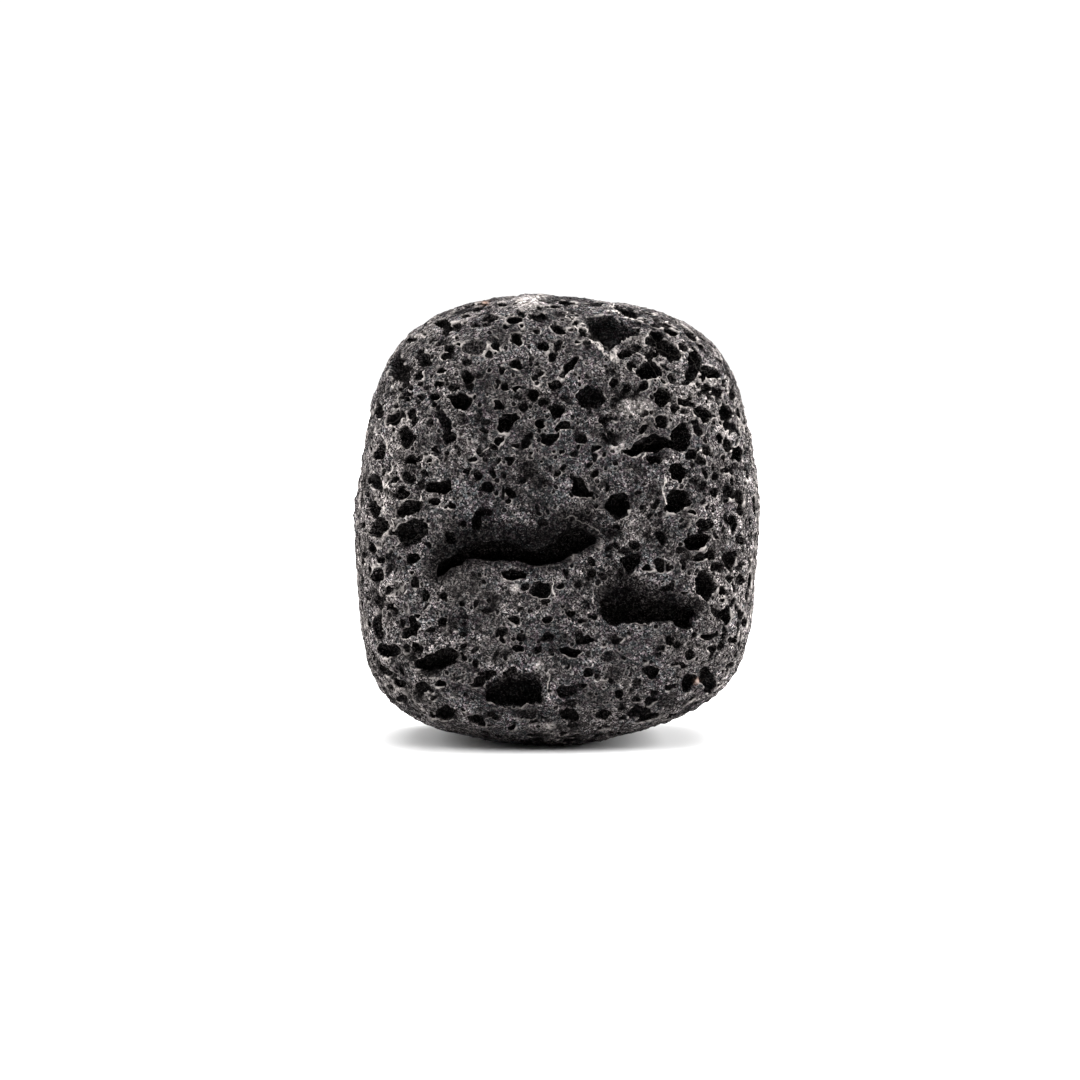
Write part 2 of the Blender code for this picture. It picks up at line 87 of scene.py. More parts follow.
# The face's pits by depth: right of the middle, height, wide, high if it isn't round, and tilt in
# degrees if it leans
FACE_PITS = (
    (DEEP, (  # in the solids too, where the pair at 11 left and 31 up is one
        (-13.2, 38.2, 1.2, 1.4), (7, 43, 2.6, 0.9, -25), (1.3, 37.7, 2.2, 0.8, 50), (9.2, 37.2, 2.3, 1.9),
        (6.9, 38.9, 2.4, 0.7, 10), (10.5, 34.5, 1.7), (11, 39.2, 3, 1.3, -35), (13.8, 38.4, 1.2, 2.2, 15),
        (15.3, 37, 2, 1.3, -20), (13.5, 36.8, 1.3, 1.5), (14.5, 32.9, 1.8, 1.3, -10),
        (16.8, 32.9, 1.3, 1.7), (17, 31.3, 1.1, 1, -20), (-16.3, 32.3, 1.4, 1.2, 20),
        (-15.2, 30.5, 1.4, 2.2), (-11.2, 31.7, 1.1, 1.3), (-11.1, 30.6, 1.3, 1.1),
        (-14.8, 28.1, 1.4, 0.9, -5), (-15.8, 24.7, 1.4, 1.2, 15), (-18.3, 23.1, 1.1, 1.3, 15),
        (-0.2, 33.1, 1.4, 1.1), (-4.6, 24.8, 1.2), (-8.1, 22.2, 2.2, 0.8, 80), (9.7, 28.4, 1.6, 1.1, 5),
        (17, 29.8, 0.7, 1.7, 12), (18, 29, 1, 1.5, 15), (-14.4, 18.5, 1.3, 1.1, 20), (-10.7, 20.3, 1.1),
        (-14.9, 10.9, 1.3, 1.2), (10.4, 20.1, 0.9, 1.7, 10), (17.5, 21.9, 0.9, 1.2), (15.9, 12.8, 1),
        (16.9, 12.7, 1, 1.8), (-17.4, 9.1, 1.9, 1.1, -35), (-7.1, 6.6, 1.6, 1, 15),
        (-8.1, 2, 2.1, 0.8, -25), (4.6, 2.5, 1.4, 0.9), (-4.3, 16.7, 2, 1.1),
        # too small for the solids, or deeper parts of what they have
        (-14.6, 40.3, 0.9, 1, 30), (-13.7, 36.8, 0.9, 0.8), (-11.8, 35.9, 0.8), (-12.3, 34.4, 1.2, 0.8),
        (-10.8, 39.5, 0.9, 1), (-5.4, 43.8, 1, 0.6), (-4.4, 42.3, 1.5, 0.7), (-2.5, 42.7, 0.9, 0.6),
        (-1.7, 42.6, 0.8, 0.6), (-8, 41.7, 0.7, 0.6), (-7, 41.7, 0.6), (-1.9, 41, 0.7, 0.5),
        (-4, 40.3, 1.3, 1, -50), (-1.4, 39.7, 1, 1.1), (0.1, 41.4, 1.5, 0.9, -10), (-9.2, 36.6, 1.2, 1.1),
        (-8.6, 35.5, 0.8, 0.7), (-4.2, 37.6, 1.3, 0.9, -30), (-5.3, 35.5, 1, 0.7, -40), (-3.9, 35.4, 0.6),
        (-2.5, 34.8, 1.2, 1.1), (-0.4, 35.8, 1.3, 0.8, 25), (-5.8, 33.6, 1, 0.9), (0.8, 44, 1.6, 0.5, -10),
        (4.4, 41.2, 2, 2.6), (1.9, 42.1, 0.6), (2.6, 41.1, 0.8, 0.6, -45), (1.9, 40, 0.6, 0.5),
        (5.5, 35.9, 0.7, 0.8), (9.3, 38.7, 1.4, 0.9), (8.7, 35.6, 0.8, 0.7), (9.9, 40.7, 1.4, 0.7, -10),
        (9.4, 40.2, 1), (11.2, 41, 1.4, 0.7, -25), (12.5, 39.4, 0.8, 0.9), (11.7, 33.5, 0.8, 0.6),
        (-14.6, 32.3, 0.9), (-10.2, 29.5, 0.5, 0.4), (-13.7, 27.5, 0.4), (-10.5, 23.5, 0.8, 0.9),
        (-7, 32.1, 0.6, 0.5), (-5.7, 30.4, 0.8), (-2.9, 30.6, 0.7, 0.6), (-3.2, 29.9, 0.9, 0.8),
        (-1.7, 31.8, 1, 1.2), (-4.6, 28.2, 0.8), (-1.7, 28, 0.5), (0.2, 28.8, 0.5), (-9.3, 26.9, 0.6),
        (0.1, 26.8, 0.5), (-5.5, 24.9, 1.1, 0.4, 70), (-5, 23.9, 0.8, 0.5), (5.6, 30.2, 0.6, 0.8),
        (3.6, 26.8, 0.7, 0.8), (5, 25.7, 0.5, 0.6), (16.1, 30.5, 0.7, 0.9, 20), (15.8, 26.7, 0.7, 0.9),
        (16.9, 27.1, 0.5, 0.6), (17.4, 27.1, 0.5, 1, 5), (17.5, 26, 0.4, 0.7), (14.5, 25.8, 0.7, 0.6),
        (15.8, 25.1, 0.8), (17.2, 25, 0.9, 1.1, 15), (-18.5, 19.3, 0.9, 1.1), (-19.5, 18.7, 0.5, 0.7),
        (-19.5, 17.9, 0.5), (-17.7, 18.3, 0.9), (-12.5, 19.6, 0.4, 0.8), (-13.3, 14.6, 0.9),
        (-16.4, 13.1, 1, 0.6, -25), (-17.9, 12.8, 0.5, 0.7), (-15.6, 11.8, 0.4, 0.6),
        (-11.6, 12, 1.1, 0.9, 10), (-13, 11.1, 1.1, 0.6), (-9.4, 21.8, 0.7), (-1.3, 14, 0.9, 0.6),
        (-9.7, 13.6, 0.6), (-9.3, 12.6, 0.5, 0.4), (-6.9, 12.9, 0.6, 0.4), (-4.6, 12, 1, 0.8, -20),
        (3.3, 18.1, 0.7, 0.8), (3.3, 16.9, 1, 1, 20), (1, 16.9, 0.7, 0.8), (2.1, 15.5, 0.8, 0.5),
        (11.2, 17.4, 0.5, 0.7), (1.3, 12.8, 0.9, 0.7), (3.7, 12.4, 0.8, 0.5, -20),
        (2.7, 10.2, 1.6, 0.8, 5), (14.3, 18.4, 0.8), (15.8, 17.4, 0.9, 0.9, -10), (16.5, 15.1, 0.8, 1),
        (17.7, 18.9, 0.5), (17.1, 16.3, 0.7), (18.2, 17.5, 0.5, 0.6), (17.5, 13.9, 0.6, 0.8, -20),
        (13.8, 10.6, 0.5), (17.6, 10.2, 0.9, 0.8), (7.6, 13.1, 6.2, 2), (12.9, 11.7, 1.4, 1.2),
        (-15.1, 9.4, 0.5, 0.3), (-14, 9.4, 1.3, 0.8), (-15.9, 5.6, 1.2, 0.8, -40), (-12.6, 4.2, 0.7, 0.4),
        (-9.5, 9.7, 0.6, 0.5), (-3.9, 9.4, 1, 0.7), (-1.8, 9.4, 0.8), (-6, 2.5, 0.6, 0.5),
        (2.8, 5.6, 0.7, 0.6), (5.4, 5.9, 0.6, 0.6, 10), (6.2, 4.8, 0.9), (9.1, 4.1, 1.3, 0.8, 25),
        (11, 10, 0.7, 0.9), (7.1, 2.7, 0.6, 0.5), (16.5, 9.9, 0.6, 0.9), (15.6, 9.4, 1.1, 0.6, 45),
        (11.7, 7.7, 0.9, 0.4), (12.7, 7.6, 0.7, 0.4, -15),
    )),
    (MIDDLING, (  # in the solids too
        (-16.1, 37.4, 2, 2.6), (-17.9, 33.1, 1.1, 1.3), (-17.9, 29, 1.2, 1.3), (-18.3, 26.1, 1.3, 1.4, 15),
        (-0.8, 30.6, 1.8, 0.9, 25), (-7.1, 25.6, 1.3, 1.2), (13.4, 28.6, 1.4, 1.2), (10.6, 32.2, 1.2, 1.3),
        (-17.9, 21.4, 1.9, 1.8), (-18.1, 16.6, 1.3, 1.7), (-18.1, 11.4, 1, 2, 10),
        (-1.7, 15.2, 2.2, 1.6, 5), (10.3, 17.5, 1, 1.3), (14.6, 21.8, 1.6, 1.1), (17.3, 18.1, 1.1, 1.8),
        (-16.2, 9.2, 1.1, 1.2), (-17.5, 7.3, 1.7, 0.9, -40), (-8, 5.9, 1.3, 1.1), (1, 5.1, 1.8, 1.2),
        (9.4, 7, 1.5, 1), (8.2, 2.9, 2, 0.9), (1.3, 2.5, 1.8, 1.3, -15),
        # too small for the solids, or deeper parts of what they have
        (17, 31.4, 1.3, 1.1), (-6.2, 39.4, 1, 0.8), (-13.7, 38.9, 1.2, 0.7, 30), (-14.7, 37.6, 0.4, 0.3),
        (-14.6, 35.5, 0.8, 0.7), (-10.4, 35.5, 0.9, 0.8), (-16.6, 34.9, 0.6, 0.5), (-15.6, 34.5, 0.6),
        (-14.9, 34.7, 0.6, 0.5), (-15.1, 34, 0.6), (-13.6, 34.5, 0.6, 0.8), (-12.4, 33.6, 0.6, 0.4),
        (-14, 33.8, 0.4), (-18, 33.9, 0.6, 0.8), (-17.4, 33.7, 0.5), (-11.4, 41.9, 1.5, 0.9),
        (-10.8, 41.2, 1.2, 0.5, 25), (-10.1, 41.6, 0.9, 0.7), (-11.7, 40, 0.6, 0.3),
        (-11.2, 40.1, 0.4, 0.3), (-11.2, 38.6, 0.9, 0.8), (-11.8, 37.2, 0.8, 0.7),
        (-8, 43.3, 1.2, 0.6, 10), (-9.2, 42.6, 0.8, 0.4, 10), (-6.5, 42.5, 1.3, 0.8), (-3.5, 42.9, 0.7),
        (-3.6, 41.7, 0.5, 0.4), (0.1, 39.7, 1), (-9.2, 38, 1, 0.8), (-8.1, 36.7, 0.5, 0.4),
        (-5.6, 37.2, 0.5, 0.8), (-6.1, 36.2, 0.5, 0.3), (-4.1, 34.5, 0.7, 0.5), (-3.4, 33.7, 0.8, 0.5),
        (-2.4, 36.5, 0.8, 0.6), (-1.7, 36.8, 0.8, 0.5), (-2.1, 35.9, 0.5, 0.3), (-1.4, 34, 1.1, 0.9, 40),
        (-0.6, 38.6, 0.9, 1.2), (-2.7, 38.4, 0.6, 0.5), (-8.4, 34.5, 0.4), (-6.9, 34.4, 0.4),
        (-0.1, 43.5, 0.9, 0.4), (3.6, 43.8, 1.5, 0.3), (9, 43, 1, 0.3, -20), (2.7, 40.1, 0.6, 0.3),
        (0.3, 36.7, 0.8, 0.5, 45), (1.6, 36.7, 0.4), (7, 35.6, 0.8, 1), (6.5, 35, 0.6, 0.7),
        (7.4, 37.7, 0.9), (7.9, 39.6, 0.7), (5.5, 33.7, 0.5, 0.4), (9.3, 34.5, 0.4), (8.3, 41.9, 0.5, 0.3),
        (9.8, 41.6, 0.8, 0.4, -15), (10.9, 41.7, 0.8, 0.4, -20), (13.3, 40.7, 1.4, 0.8, -35),
        (11.2, 36.6, 0.8, 1), (14.9, 35.5, 1, 0.8, -45), (16, 35.1, 0.9, 1.5, 20), (16.7, 35.8, 0.6),
        (16.9, 36.7, 0.5), (17.5, 34.9, 0.7, 1.2, 15), (13.6, 34.5, 0.7, 0.6), (12.7, 34.1, 1.3, 0.7),
        (13.6, 33.8, 1, 0.4, -10), (14.4, 35, 0.4, 0.5), (15.3, 34.7, 0.5, 0.4), (16.4, 38.4, 0.5, 0.4),
        (-11.5, 32.6, 0.8, 0.7), (-12.6, 32, 0.5, 0.7), (-11.2, 29, 0.6), (-12.6, 28, 0.7, 0.4),
        (-13.3, 26.7, 0.6, 0.8), (-17.3, 27.2, 0.5), (-15.1, 26.4, 1.2, 1), (-16.4, 26, 0.8, 0.7),
        (-13.9, 25.8, 0.7, 0.8), (-17.7, 25.4, 0.6, 0.5), (-12.3, 23.8, 1.1, 0.8), (-11.2, 23.5, 0.4),
        (-7.4, 31.1, 1.2, 0.5, -5), (-6.2, 29.6, 0.8, 0.6), (-4.2, 29.7, 0.7, 0.4),
        (-7.4, 28.3, 0.9, 0.4, -15), (-2.6, 28.9, 0.4, 0.5), (-8.1, 26.7, 0.9, 1), (-6.4, 27.1, 0.6, 1.1),
        (-5.1, 26.7, 0.5, 0.7), (-3, 26.8, 1, 0.5), (-2.1, 26.9, 0.4), (-3.3, 26.2, 0.6, 0.5),
        (-8.9, 25.1, 0.6, 0.4), (-3.6, 23.6, 0.7, 0.5), (-1.9, 23.4, 0.5, 0.7), (-7.2, 22.7, 0.9),
        (-1.5, 21.9, 1, 0.6), (0.3, 31.7, 1.2, 0.9, 5), (3.1, 32.9, 0.6), (4.9, 32.2, 1.1, 1.2),
        (5.1, 31.1, 0.5), (2.4, 30.4, 1.1, 1), (3.7, 29.6, 0.9, 0.5, 30), (3.6, 28.6, 0.8),
        (1.5, 28.7, 0.6), (0.6, 27.9, 0.4), (3, 27.8, 0.6), (3.6, 24.3, 0.5, 0.4), (2.3, 23.3, 0.5, 0.4),
        (8.7, 26, 0.5, 0.4), (9.9, 25, 0.5), (9.7, 24, 0.8), (8.6, 31.1, 1.1, 0.6, 60), (1.8, 32, 0.4),
        (18.1, 32.7, 0.5, 1.1, 10), (17.7, 31.4, 0.6, 0.8), (16.1, 31.9, 0.4, 0.5),
        (13.9, 31.6, 1.2, 0.8, -45), (15, 29.2, 1, 0.8, -30), (16.6, 28.5, 0.6, 0.7), (14.4, 28, 0.9),
        (15.6, 27.7, 0.7), (14.7, 26.7, 0.6, 0.7), (17.9, 27.8, 0.7, 0.4, -30), (13.5, 26.2, 0.5),
        (18.1, 24.4, 0.9, 1.4, 15), (19, 26.5, 0.4, 1.2, 5), (13.5, 22.9, 0.7, 0.6, -20),
        (16.9, 24.1, 0.5, 0.4), (18.3, 23.2, 0.7, 1, 10), (19.8, 24.2, 0.4, 1.2), (-19.5, 21.6, 0.6, 0.7),
        (-16.6, 20.8, 0.6), (-11.7, 19.4, 0.4), (-16.4, 17.6, 0.5), (-16.9, 17.2, 0.6, 0.8),
        (-17.9, 14.2, 1, 1.2, 20), (-16.9, 15.1, 0.5, 1), (-14.3, 15.8, 0.7, 1.2, 10), (-11.4, 14.7, 0.8),
        (-14, 12.8, 0.7, 0.5), (-14.4, 12, 0.9, 1.5, 25), (-3.3, 15.5, 1.2, 0.5, 40),
        (-8.2, 13.9, 0.7, 0.6), (-9.5, 12, 0.5, 0.4), (-1, 12.1, 1, 0.8), (-5.8, 10.6, 0.7, 0.8),
        (-5, 10.7, 0.8, 0.7), (-3.6, 10.7, 0.9, 0.7), (-0.9, 10.5, 1.2, 0.8), (-8.6, 10.6, 0.4),
        (-9.7, 11.1, 0.6), (-7.4, 16, 0.6, 0.4), (-3.8, 13.3, 0.6, 0.5), (3, 16.2, 0.4, 0.6),
        (0.4, 15.6, 0.8, 0.6), (4.6, 16.5, 1, 0.5, -45), (5.9, 21.8, 0.6), (5.8, 20.8, 0.4),
        (6, 19.7, 0.8), (7.6, 19.7, 0.9), (6.7, 19, 1.2, 0.6, -10), (6.4, 17, 0.6, 0.8), (9.2, 17.1, 0.7),
        (9, 20.5, 0.4), (2.9, 13.7, 0.5), (2.1, 10.7, 0.8), (6.9, 10.6, 0.5), (7, 16.1, 0.6, 0.4),
        (15.2, 18.7, 1.2, 0.9), (13.2, 18.8, 0.4, 0.5), (11.4, 18.6, 0.4), (12.7, 17.6, 0.7, 0.9),
        (16.6, 14.3, 0.4), (17.5, 15.8, 0.4, 0.5), (18.6, 17.7, 0.4, 0.5), (18.5, 20.2, 0.8, 1.3, 35),
        (18.4, 16.2, 0.6, 1), (19.4, 16, 0.4, 1.5), (17.7, 15.2, 0.5, 0.8), (18, 13.3, 0.5, 0.6),
        (18.5, 12.8, 0.5, 0.8, 15), (18.9, 11.9, 0.5, 1), (18.1, 11.4, 0.4, 1), (16.7, 11, 0.5, 1.2),
        (15.8, 11, 0.5, 0.4), (15, 10.7, 1.2, 0.7), (10.9, 15.4, 1.3, 0.8), (11.8, 14.3, 0.5, 0.3),
        (12.8, 14.9, 0.5, 0.4), (15.4, 13.4, 0.4), (-16.4, 6.5, 0.4, 0.6), (-13.6, 5.4, 1.4, 0.8, -10),
        (-13.9, 4.9, 0.6, 0.5), (-12.7, 4.9, 0.5, 0.4), (-11.5, 5.8, 1.4, 0.9), (-12.6, 2.5, 0.9, 0.4),
        (-16, 3.8, 0.9, 0.8), (-17.1, 5.2, 1, 0.5, -40), (-5.1, 10, 0.5, 0.6), (-0.7, 8.9, 0.6),
        (-8.2, 7.8, 0.9, 0.7), (-5.1, 6.6, 0.8, 0.6, 45), (-4.4, 7, 1, 0.7), (-4.4, 1.3, 1, 0.5, -10),
        (-2.7, 1.9, 0.5), (6, 10.1, 0.8, 0.6, -30), (1.2, 7.4, 0.5, 0.4), (3, 6.9, 0.9, 1),
        (3.7, 6.5, 0.5, 0.6), (7.8, 4.1, 0.8, 0.6), (8.9, 7.9, 0.4), (9.9, 8.6, 0.4), (6.7, 8.4, 0.4, 0.5),
        (10.3, 9.2, 0.7), (1.2, 1.5, 0.8, 0.4), (6.4, 2.3, 0.5), (5, 1.4, 0.6, 0.4), (4.2, 1.2, 0.5, 0.4),
        (9.2, 1.8, 2.7, 0.5, 16), (18.4, 9.7, 0.4, 0.6, -20), (11.8, 9.7, 1, 0.6, 25), (13.3, 8.6, 0.9),
        (17.6, 7.4, 0.6, 0.7, 20), (16.7, 7.2, 0.4), (11.4, 5.4, 0.7, 0.6, 20), (16.1, 5.4, 0.5, 0.7, -30),
        (13.4, 4.2, 0.4, 0.5),
    )),
    (SHALLOW, (  # in the solids too
        (-8.2, 39.5, 2.2, 1.7), (-18.7, 14.7, 1.7, 1.5), (-16.2, 15.2, 1.8, 1.6), (-3.3, 2.7, 2.2, 1),
        (5.1, 8.7, 1.7, 1.4),
        # too small for the solids, or deeper parts of what they have
        (-13.4, 40.8, 0.7, 0.8), (-10.5, 43, 1, 0.4, 15), (-8.8, 43.1, 1, 0.3, 10), (-6.2, 39.8, 0.9, 1.4),
        (12.5, 41.8, 1, 0.3, -25), (-9.6, 32.4, 1.4, 1.1), (-18, 31.5, 0.7), (-11.2, 28.1, 1),
        (-12.6, 26.9, 0.8), (-19.6, 24.2, 0.7, 1.6), (5.8, 32.2, 0.8, 1), (3.5, 31, 0.8, 0.6),
        (7.4, 27.4, 1.2, 0.7), (9.2, 31.7, 0.8, 0.5), (-15.6, 17.1, 0.6), (-17, 12.2, 0.7),
        (-15.1, 13.6, 0.4, 0.9), (-17.5, 10.4, 0.5, 0.6), (-7.6, 13.1, 0.7, 0.6), (5.6, 16, 0.6),
        (12.7, 21.8, 0.9, 1), (-14.5, 8.7, 1.4, 0.8), (-13, 6.9, 2.6, 0.9), (-15, 6.1, 0.5, 0.8),
        (-15, 4.8, 0.4, 0.5), (-10, 6.4, 1, 0.8), (-10.2, 4.4, 0.8, 0.6), (-13.9, 4.2, 1, 0.8),
        (-4.2, 8.1, 0.8), (-5.1, 8.7, 0.5, 0.8), (-7.1, 8, 0.5), (-9.6, 6.5, 0.6), (-7.8, 3.2, 0.8),
        (5.4, 6.8, 0.8, 0.6), (6.8, 5.8, 0.7, 0.6), (3.2, 4.6, 0.8, 0.6), (15.7, 8.4, 0.6, 0.5),
        (10.5, 3.7, 0.8, 0.5),
    )),
    (FUNNEL, (  # worn slopes that lead into the wide openings
        (-2.8, 20.6, 11, 2.2), (7.2, 39.6, 3.4, 1.8, 15), (11.5, 14, 5.5, 1.8, -20),
    )),
)

# The larger openings of the face, each as its depth and its edge, anticlockwise
FACE_OPENINGS = (
    (1.6, (  # the hollow at the top right
        (3.2, 42.2), (3.3, 41.2), (3.9, 40.3), (4.5, 39.5), (5.0, 39.5), (5.4, 39.9), (6.5, 40.5),
        (7.5, 40.7), (8.2, 41.1), (7.3, 41.7), (6.1, 42.0), (5.5, 42.8), (4.4, 43.0), (3.6, 42.7),
    )),
    (1.4, (
        (1.5, 34.9), (1.8, 33.8), (2.8, 33.3), (4.0, 33.6), (4.6, 34.3), (4.4, 35.2), (3.4, 35.7),
        (2.2, 35.5),
    )),
    (1.8, (
        (-11.2, 34.2), (-10.6, 33.2), (-9.6, 33.1), (-8.7, 34.0), (-8.7, 34.6), (-9.8, 34.9),
    )),
    (1.7, (
        (-5.9, 31.7), (-5.8, 31.1), (-5.0, 31.0), (-4.5, 31.3), (-3.9, 32.0), (-3.5, 32.6),
        (-3.9, 33.1), (-4.9, 33.0), (-5.6, 32.4),
    )),
    (1.7, (
        (-13.4, 25.3), (-13.0, 24.7), (-12.1, 24.6), (-10.9, 24.7), (-10.5, 25.4), (-10.6, 25.9),
        (-11.4, 26.3), (-12.1, 26.2), (-13.0, 25.8),
    )),
    (1.7, (
        (-16.4, 22.9), (-16.1, 22.4), (-15.4, 22.3), (-14.5, 22.7), (-13.7, 23.0), (-13.6, 23.8),
        (-14.3, 24.2), (-15.1, 24.1), (-15.9, 23.6),
    )),
    (1.5, (
        (1.0, 24.7), (1.9, 24.4), (3.2, 24.6), (3.6, 25.1), (2.7, 25.5), (2.5, 26.2), (1.5, 26.7),
        (1.2, 25.8),
    )),
    (2.4, (
        (4.8, 23.5), (5.3, 23.0), (6.2, 22.5), (7.0, 22.8), (7.2, 23.7), (6.9, 24.8), (5.5, 24.8),
        (5.0, 24.3),
    )),
    (2.4, (  # the rising slit at the upper right and the pit it runs into
        (6.3, 29.3), (7.2, 28.5), (7.8, 28.4), (8.3, 29.0), (9.2, 29.3), (11.4, 29.4), (11.0, 30.6),
        (9.7, 30.8), (8.2, 30.0), (6.8, 29.5),
    )),
    (2.2, (
        (11.3, 30.5), (11.3, 29.6), (11.9, 29.3), (12.7, 29.2), (13.2, 29.9), (13.3, 31.0),
        (12.9, 31.8), (12.2, 32.1), (11.6, 31.4),
    )),
    (1.7, (
        (11.1, 27.2), (11.6, 26.3), (12.5, 26.2), (13.0, 26.8), (12.8, 27.3), (12.5, 27.9),
        (11.5, 27.9),
    )),
    (2.2, (
        (10.9, 24.2), (10.9, 23.1), (11.9, 23.1), (13.0, 23.5), (13.4, 23.9), (13.4, 25.1),
        (12.7, 25.6), (12.1, 25.3), (11.2, 25.1),
    )),
    (1.8, (
        (-16.4, 20.8), (-15.9, 20.2), (-15.3, 19.6), (-14.4, 19.9), (-13.5, 20.4), (-13.0, 20.9),
        (-13.1, 21.7), (-13.8, 22.2), (-14.8, 22.1), (-15.6, 21.8), (-16.3, 21.3),
    )),
    (3.6, (  # the long slit across the middle
        (-12.3, 16.2), (-11.6, 16.5), (-10.8, 17.2), (-9.8, 17.8), (-8.8, 18.1), (-7.3, 18.2),
        (-5.6, 18.1), (-4.3, 17.9), (-2.5, 17.8), (-0.9, 17.6), (0.3, 18.0), (1.0, 18.5),
        (2.2, 19.2), (3.6, 19.8), (3.7, 20.5), (3.2, 21.0),
        (2.0, 21.4), (0.9, 21.2), (0.0, 20.5), (-1.0, 19.8), (-2.3, 19.5), (-3.8, 19.7),
        (-5.8, 20.1), (-7.8, 19.9), (-9.3, 19.5), (-10.3, 18.9), (-11.3, 18.1), (-12.1, 17.2),
    )),
    (3.0, (  # the slit at the lower right
        (4.3, 13.2), (4.6, 12.4), (5.4, 11.8), (6.7, 11.8), (8.2, 12.0), (9.7, 12.0), (11.4, 12.0),
        (12.4, 11.3), (13.2, 11.2), (13.8, 12.3), (14.0, 12.9), (13.2, 13.3), (11.2, 13.8),
        (9.7, 14.2), (8.2, 15.0), (7.0, 15.8), (6.0, 15.6), (5.4, 14.8), (4.3, 13.9),
    )),
    (1.8, (
        (6.4, 18.0), (6.7, 17.5), (7.3, 17.1), (7.9, 17.0), (8.3, 17.6), (8.2, 18.5), (7.6, 18.8),
        (6.8, 18.6),
    )),
    (2.1, (
        (12.7, 19.9), (12.8, 19.3), (13.2, 19.0), (14.1, 19.1), (14.8, 19.5), (15.3, 20.1),
        (15.0, 20.8), (14.2, 21.0), (13.2, 20.7),
    )),
    (2.0, (
        (14.0, 15.8), (14.2, 14.7), (14.5, 13.9), (15.1, 13.8), (15.6, 14.5), (16.0, 15.4),
        (15.7, 16.5), (15.0, 17.2), (14.3, 16.8),
    )),
    (2.4, (
        (-14.5, 8.1), (-14.4, 7.5), (-13.3, 7.1), (-11.6, 7.3), (-10.6, 7.6), (-10.1, 8.3),
        (-10.3, 9.0), (-11.8, 9.1), (-12.8, 9.0), (-13.8, 8.4),
    )),
    (1.4, (
        (-12.1, 2.8), (-12.0, 2.1), (-11.2, 1.9), (-10.6, 2.3), (-10.5, 3.1), (-11.1, 3.5),
        (-11.7, 3.4),
    )),
    (2.6, (  # the wide pit near the foot
        (-7.2, 4.3), (-7.1, 3.9), (-6.3, 3.7), (-4.8, 3.6), (-3.8, 3.4), (-2.8, 3.7), (-1.7, 3.4),
        (-1.5, 3.9), (-1.8, 5.4), (-2.1, 6.0), (-3.3, 6.2), (-4.8, 6.1), (-5.8, 5.7), (-6.8, 5.2),
    )),
    (1.4, (
        (0.3, 9.2), (0.7, 8.5), (1.5, 8.2), (2.3, 8.5), (2.6, 9.1), (1.4, 9.3),
    )),
    (1.6, (
        (14.2, 6.2), (14.5, 5.4), (14.8, 4.8), (15.3, 4.9), (15.8, 5.6), (16.0, 6.5), (15.4, 6.9),
        (14.4, 6.9),
    )),
    (1.4, (
        (12.4, 5.9), (12.6, 4.7), (13.3, 4.8), (13.7, 5.6), (13.9, 6.2), (13.6, 6.9), (12.7, 6.6),
    )),
)

SHADED_SLOPE_FROM = 2.4  # an opening deeper than this gets painted shade on the slopes round it, which reaches as far as it is deeper
SLOPE_RISE = 0.6  # how much further that painted shade reaches above it, as a share
RIDGE_REACH = 0.55  # how far from its line a ridge may run

# Pale ridges of the face, each along (right of the middle, height)
RIDGES = (
    ((1.5, 42.1), (2.3, 41.2), (3.2, 40.3), (3.8, 39.8), (4.3, 39.2), (5.0, 38.6), (5.8, 38.0),
     (6.6, 37.5), (7.4, 36.8), (8.0, 36.1)),
    ((0.9, 42.3), (1.9, 41.0), (3.0, 40.0), (4.0, 38.9), (5.0, 38.2), (6.4, 37.2), (7.3, 36.4)),
    ((9.2, 40.0), (10.0, 39.0), (11.2, 38.3), (12.2, 38.3)), ((13.4, 37.8), (14.2, 36.8), (15.4, 36.2)),
    ((5.4, 43.6), (5.6, 42.5), (7.0, 42.0), (8.6, 41.8)), ((8.0, 38.3), (9.0, 37.4), (9.9, 36.3)),
    ((-15.6, 33.7), (-15.8, 31.7), (-16.8, 31.4)), ((-14.1, 32.4), (-14.3, 31.7), (-15.3, 31.7)),
    ((-14.5, 29.7), (-14.8, 29.0), (-15.8, 28.8)),
    ((-13.6, 23.9), (-13.5, 23.2), (-13.7, 22.7), (-14.7, 22.6), (-15.3, 22.2), (-16.3, 21.9)),
    ((-16.6, 21.5), (-17.0, 20.7), (-17.8, 19.9), (-19.1, 20.4)),
    ((-13.1, 20.8), (-13.8, 20.1), (-14.7, 19.6), (-15.8, 19.4)),
    ((-15.3, 15.2), (-16.0, 14.5), (-16.8, 14.2)), ((13.7, 32.6), (14.2, 32.1), (15.1, 31.6)),
    ((8.6, 28.2), (8.7, 29.0), (9.3, 29.4)), ((13.6, 27.7), (13.9, 28.3), (14.4, 28.5)),
    ((10.7, 25.7), (10.6, 24.4), (10.8, 23.1)), ((-0.5, 15.4), (-0.5, 14.4)),
    ((-1.0, 6.2), (-0.9, 5.2), (-1.0, 4.4)), ((1.0, 21.9), (2.4, 21.7), (3.4, 21.2), (4.0, 20.6)),
    ((-16.4, 35.2), (-15.8, 34.2), (-16.0, 33.0)), ((-18.2, 30.4), (-17.0, 29.8), (-16.6, 28.4)),
    ((-16.7, 27.0), (-17.0, 25.4), (-17.3, 24.0), (-17.4, 22.4)),
    ((-12.8, 28.2), (-12.0, 27.5)), ((-8.1, 28.2), (-7.4, 28.6), (-6.9, 28.9)),
)
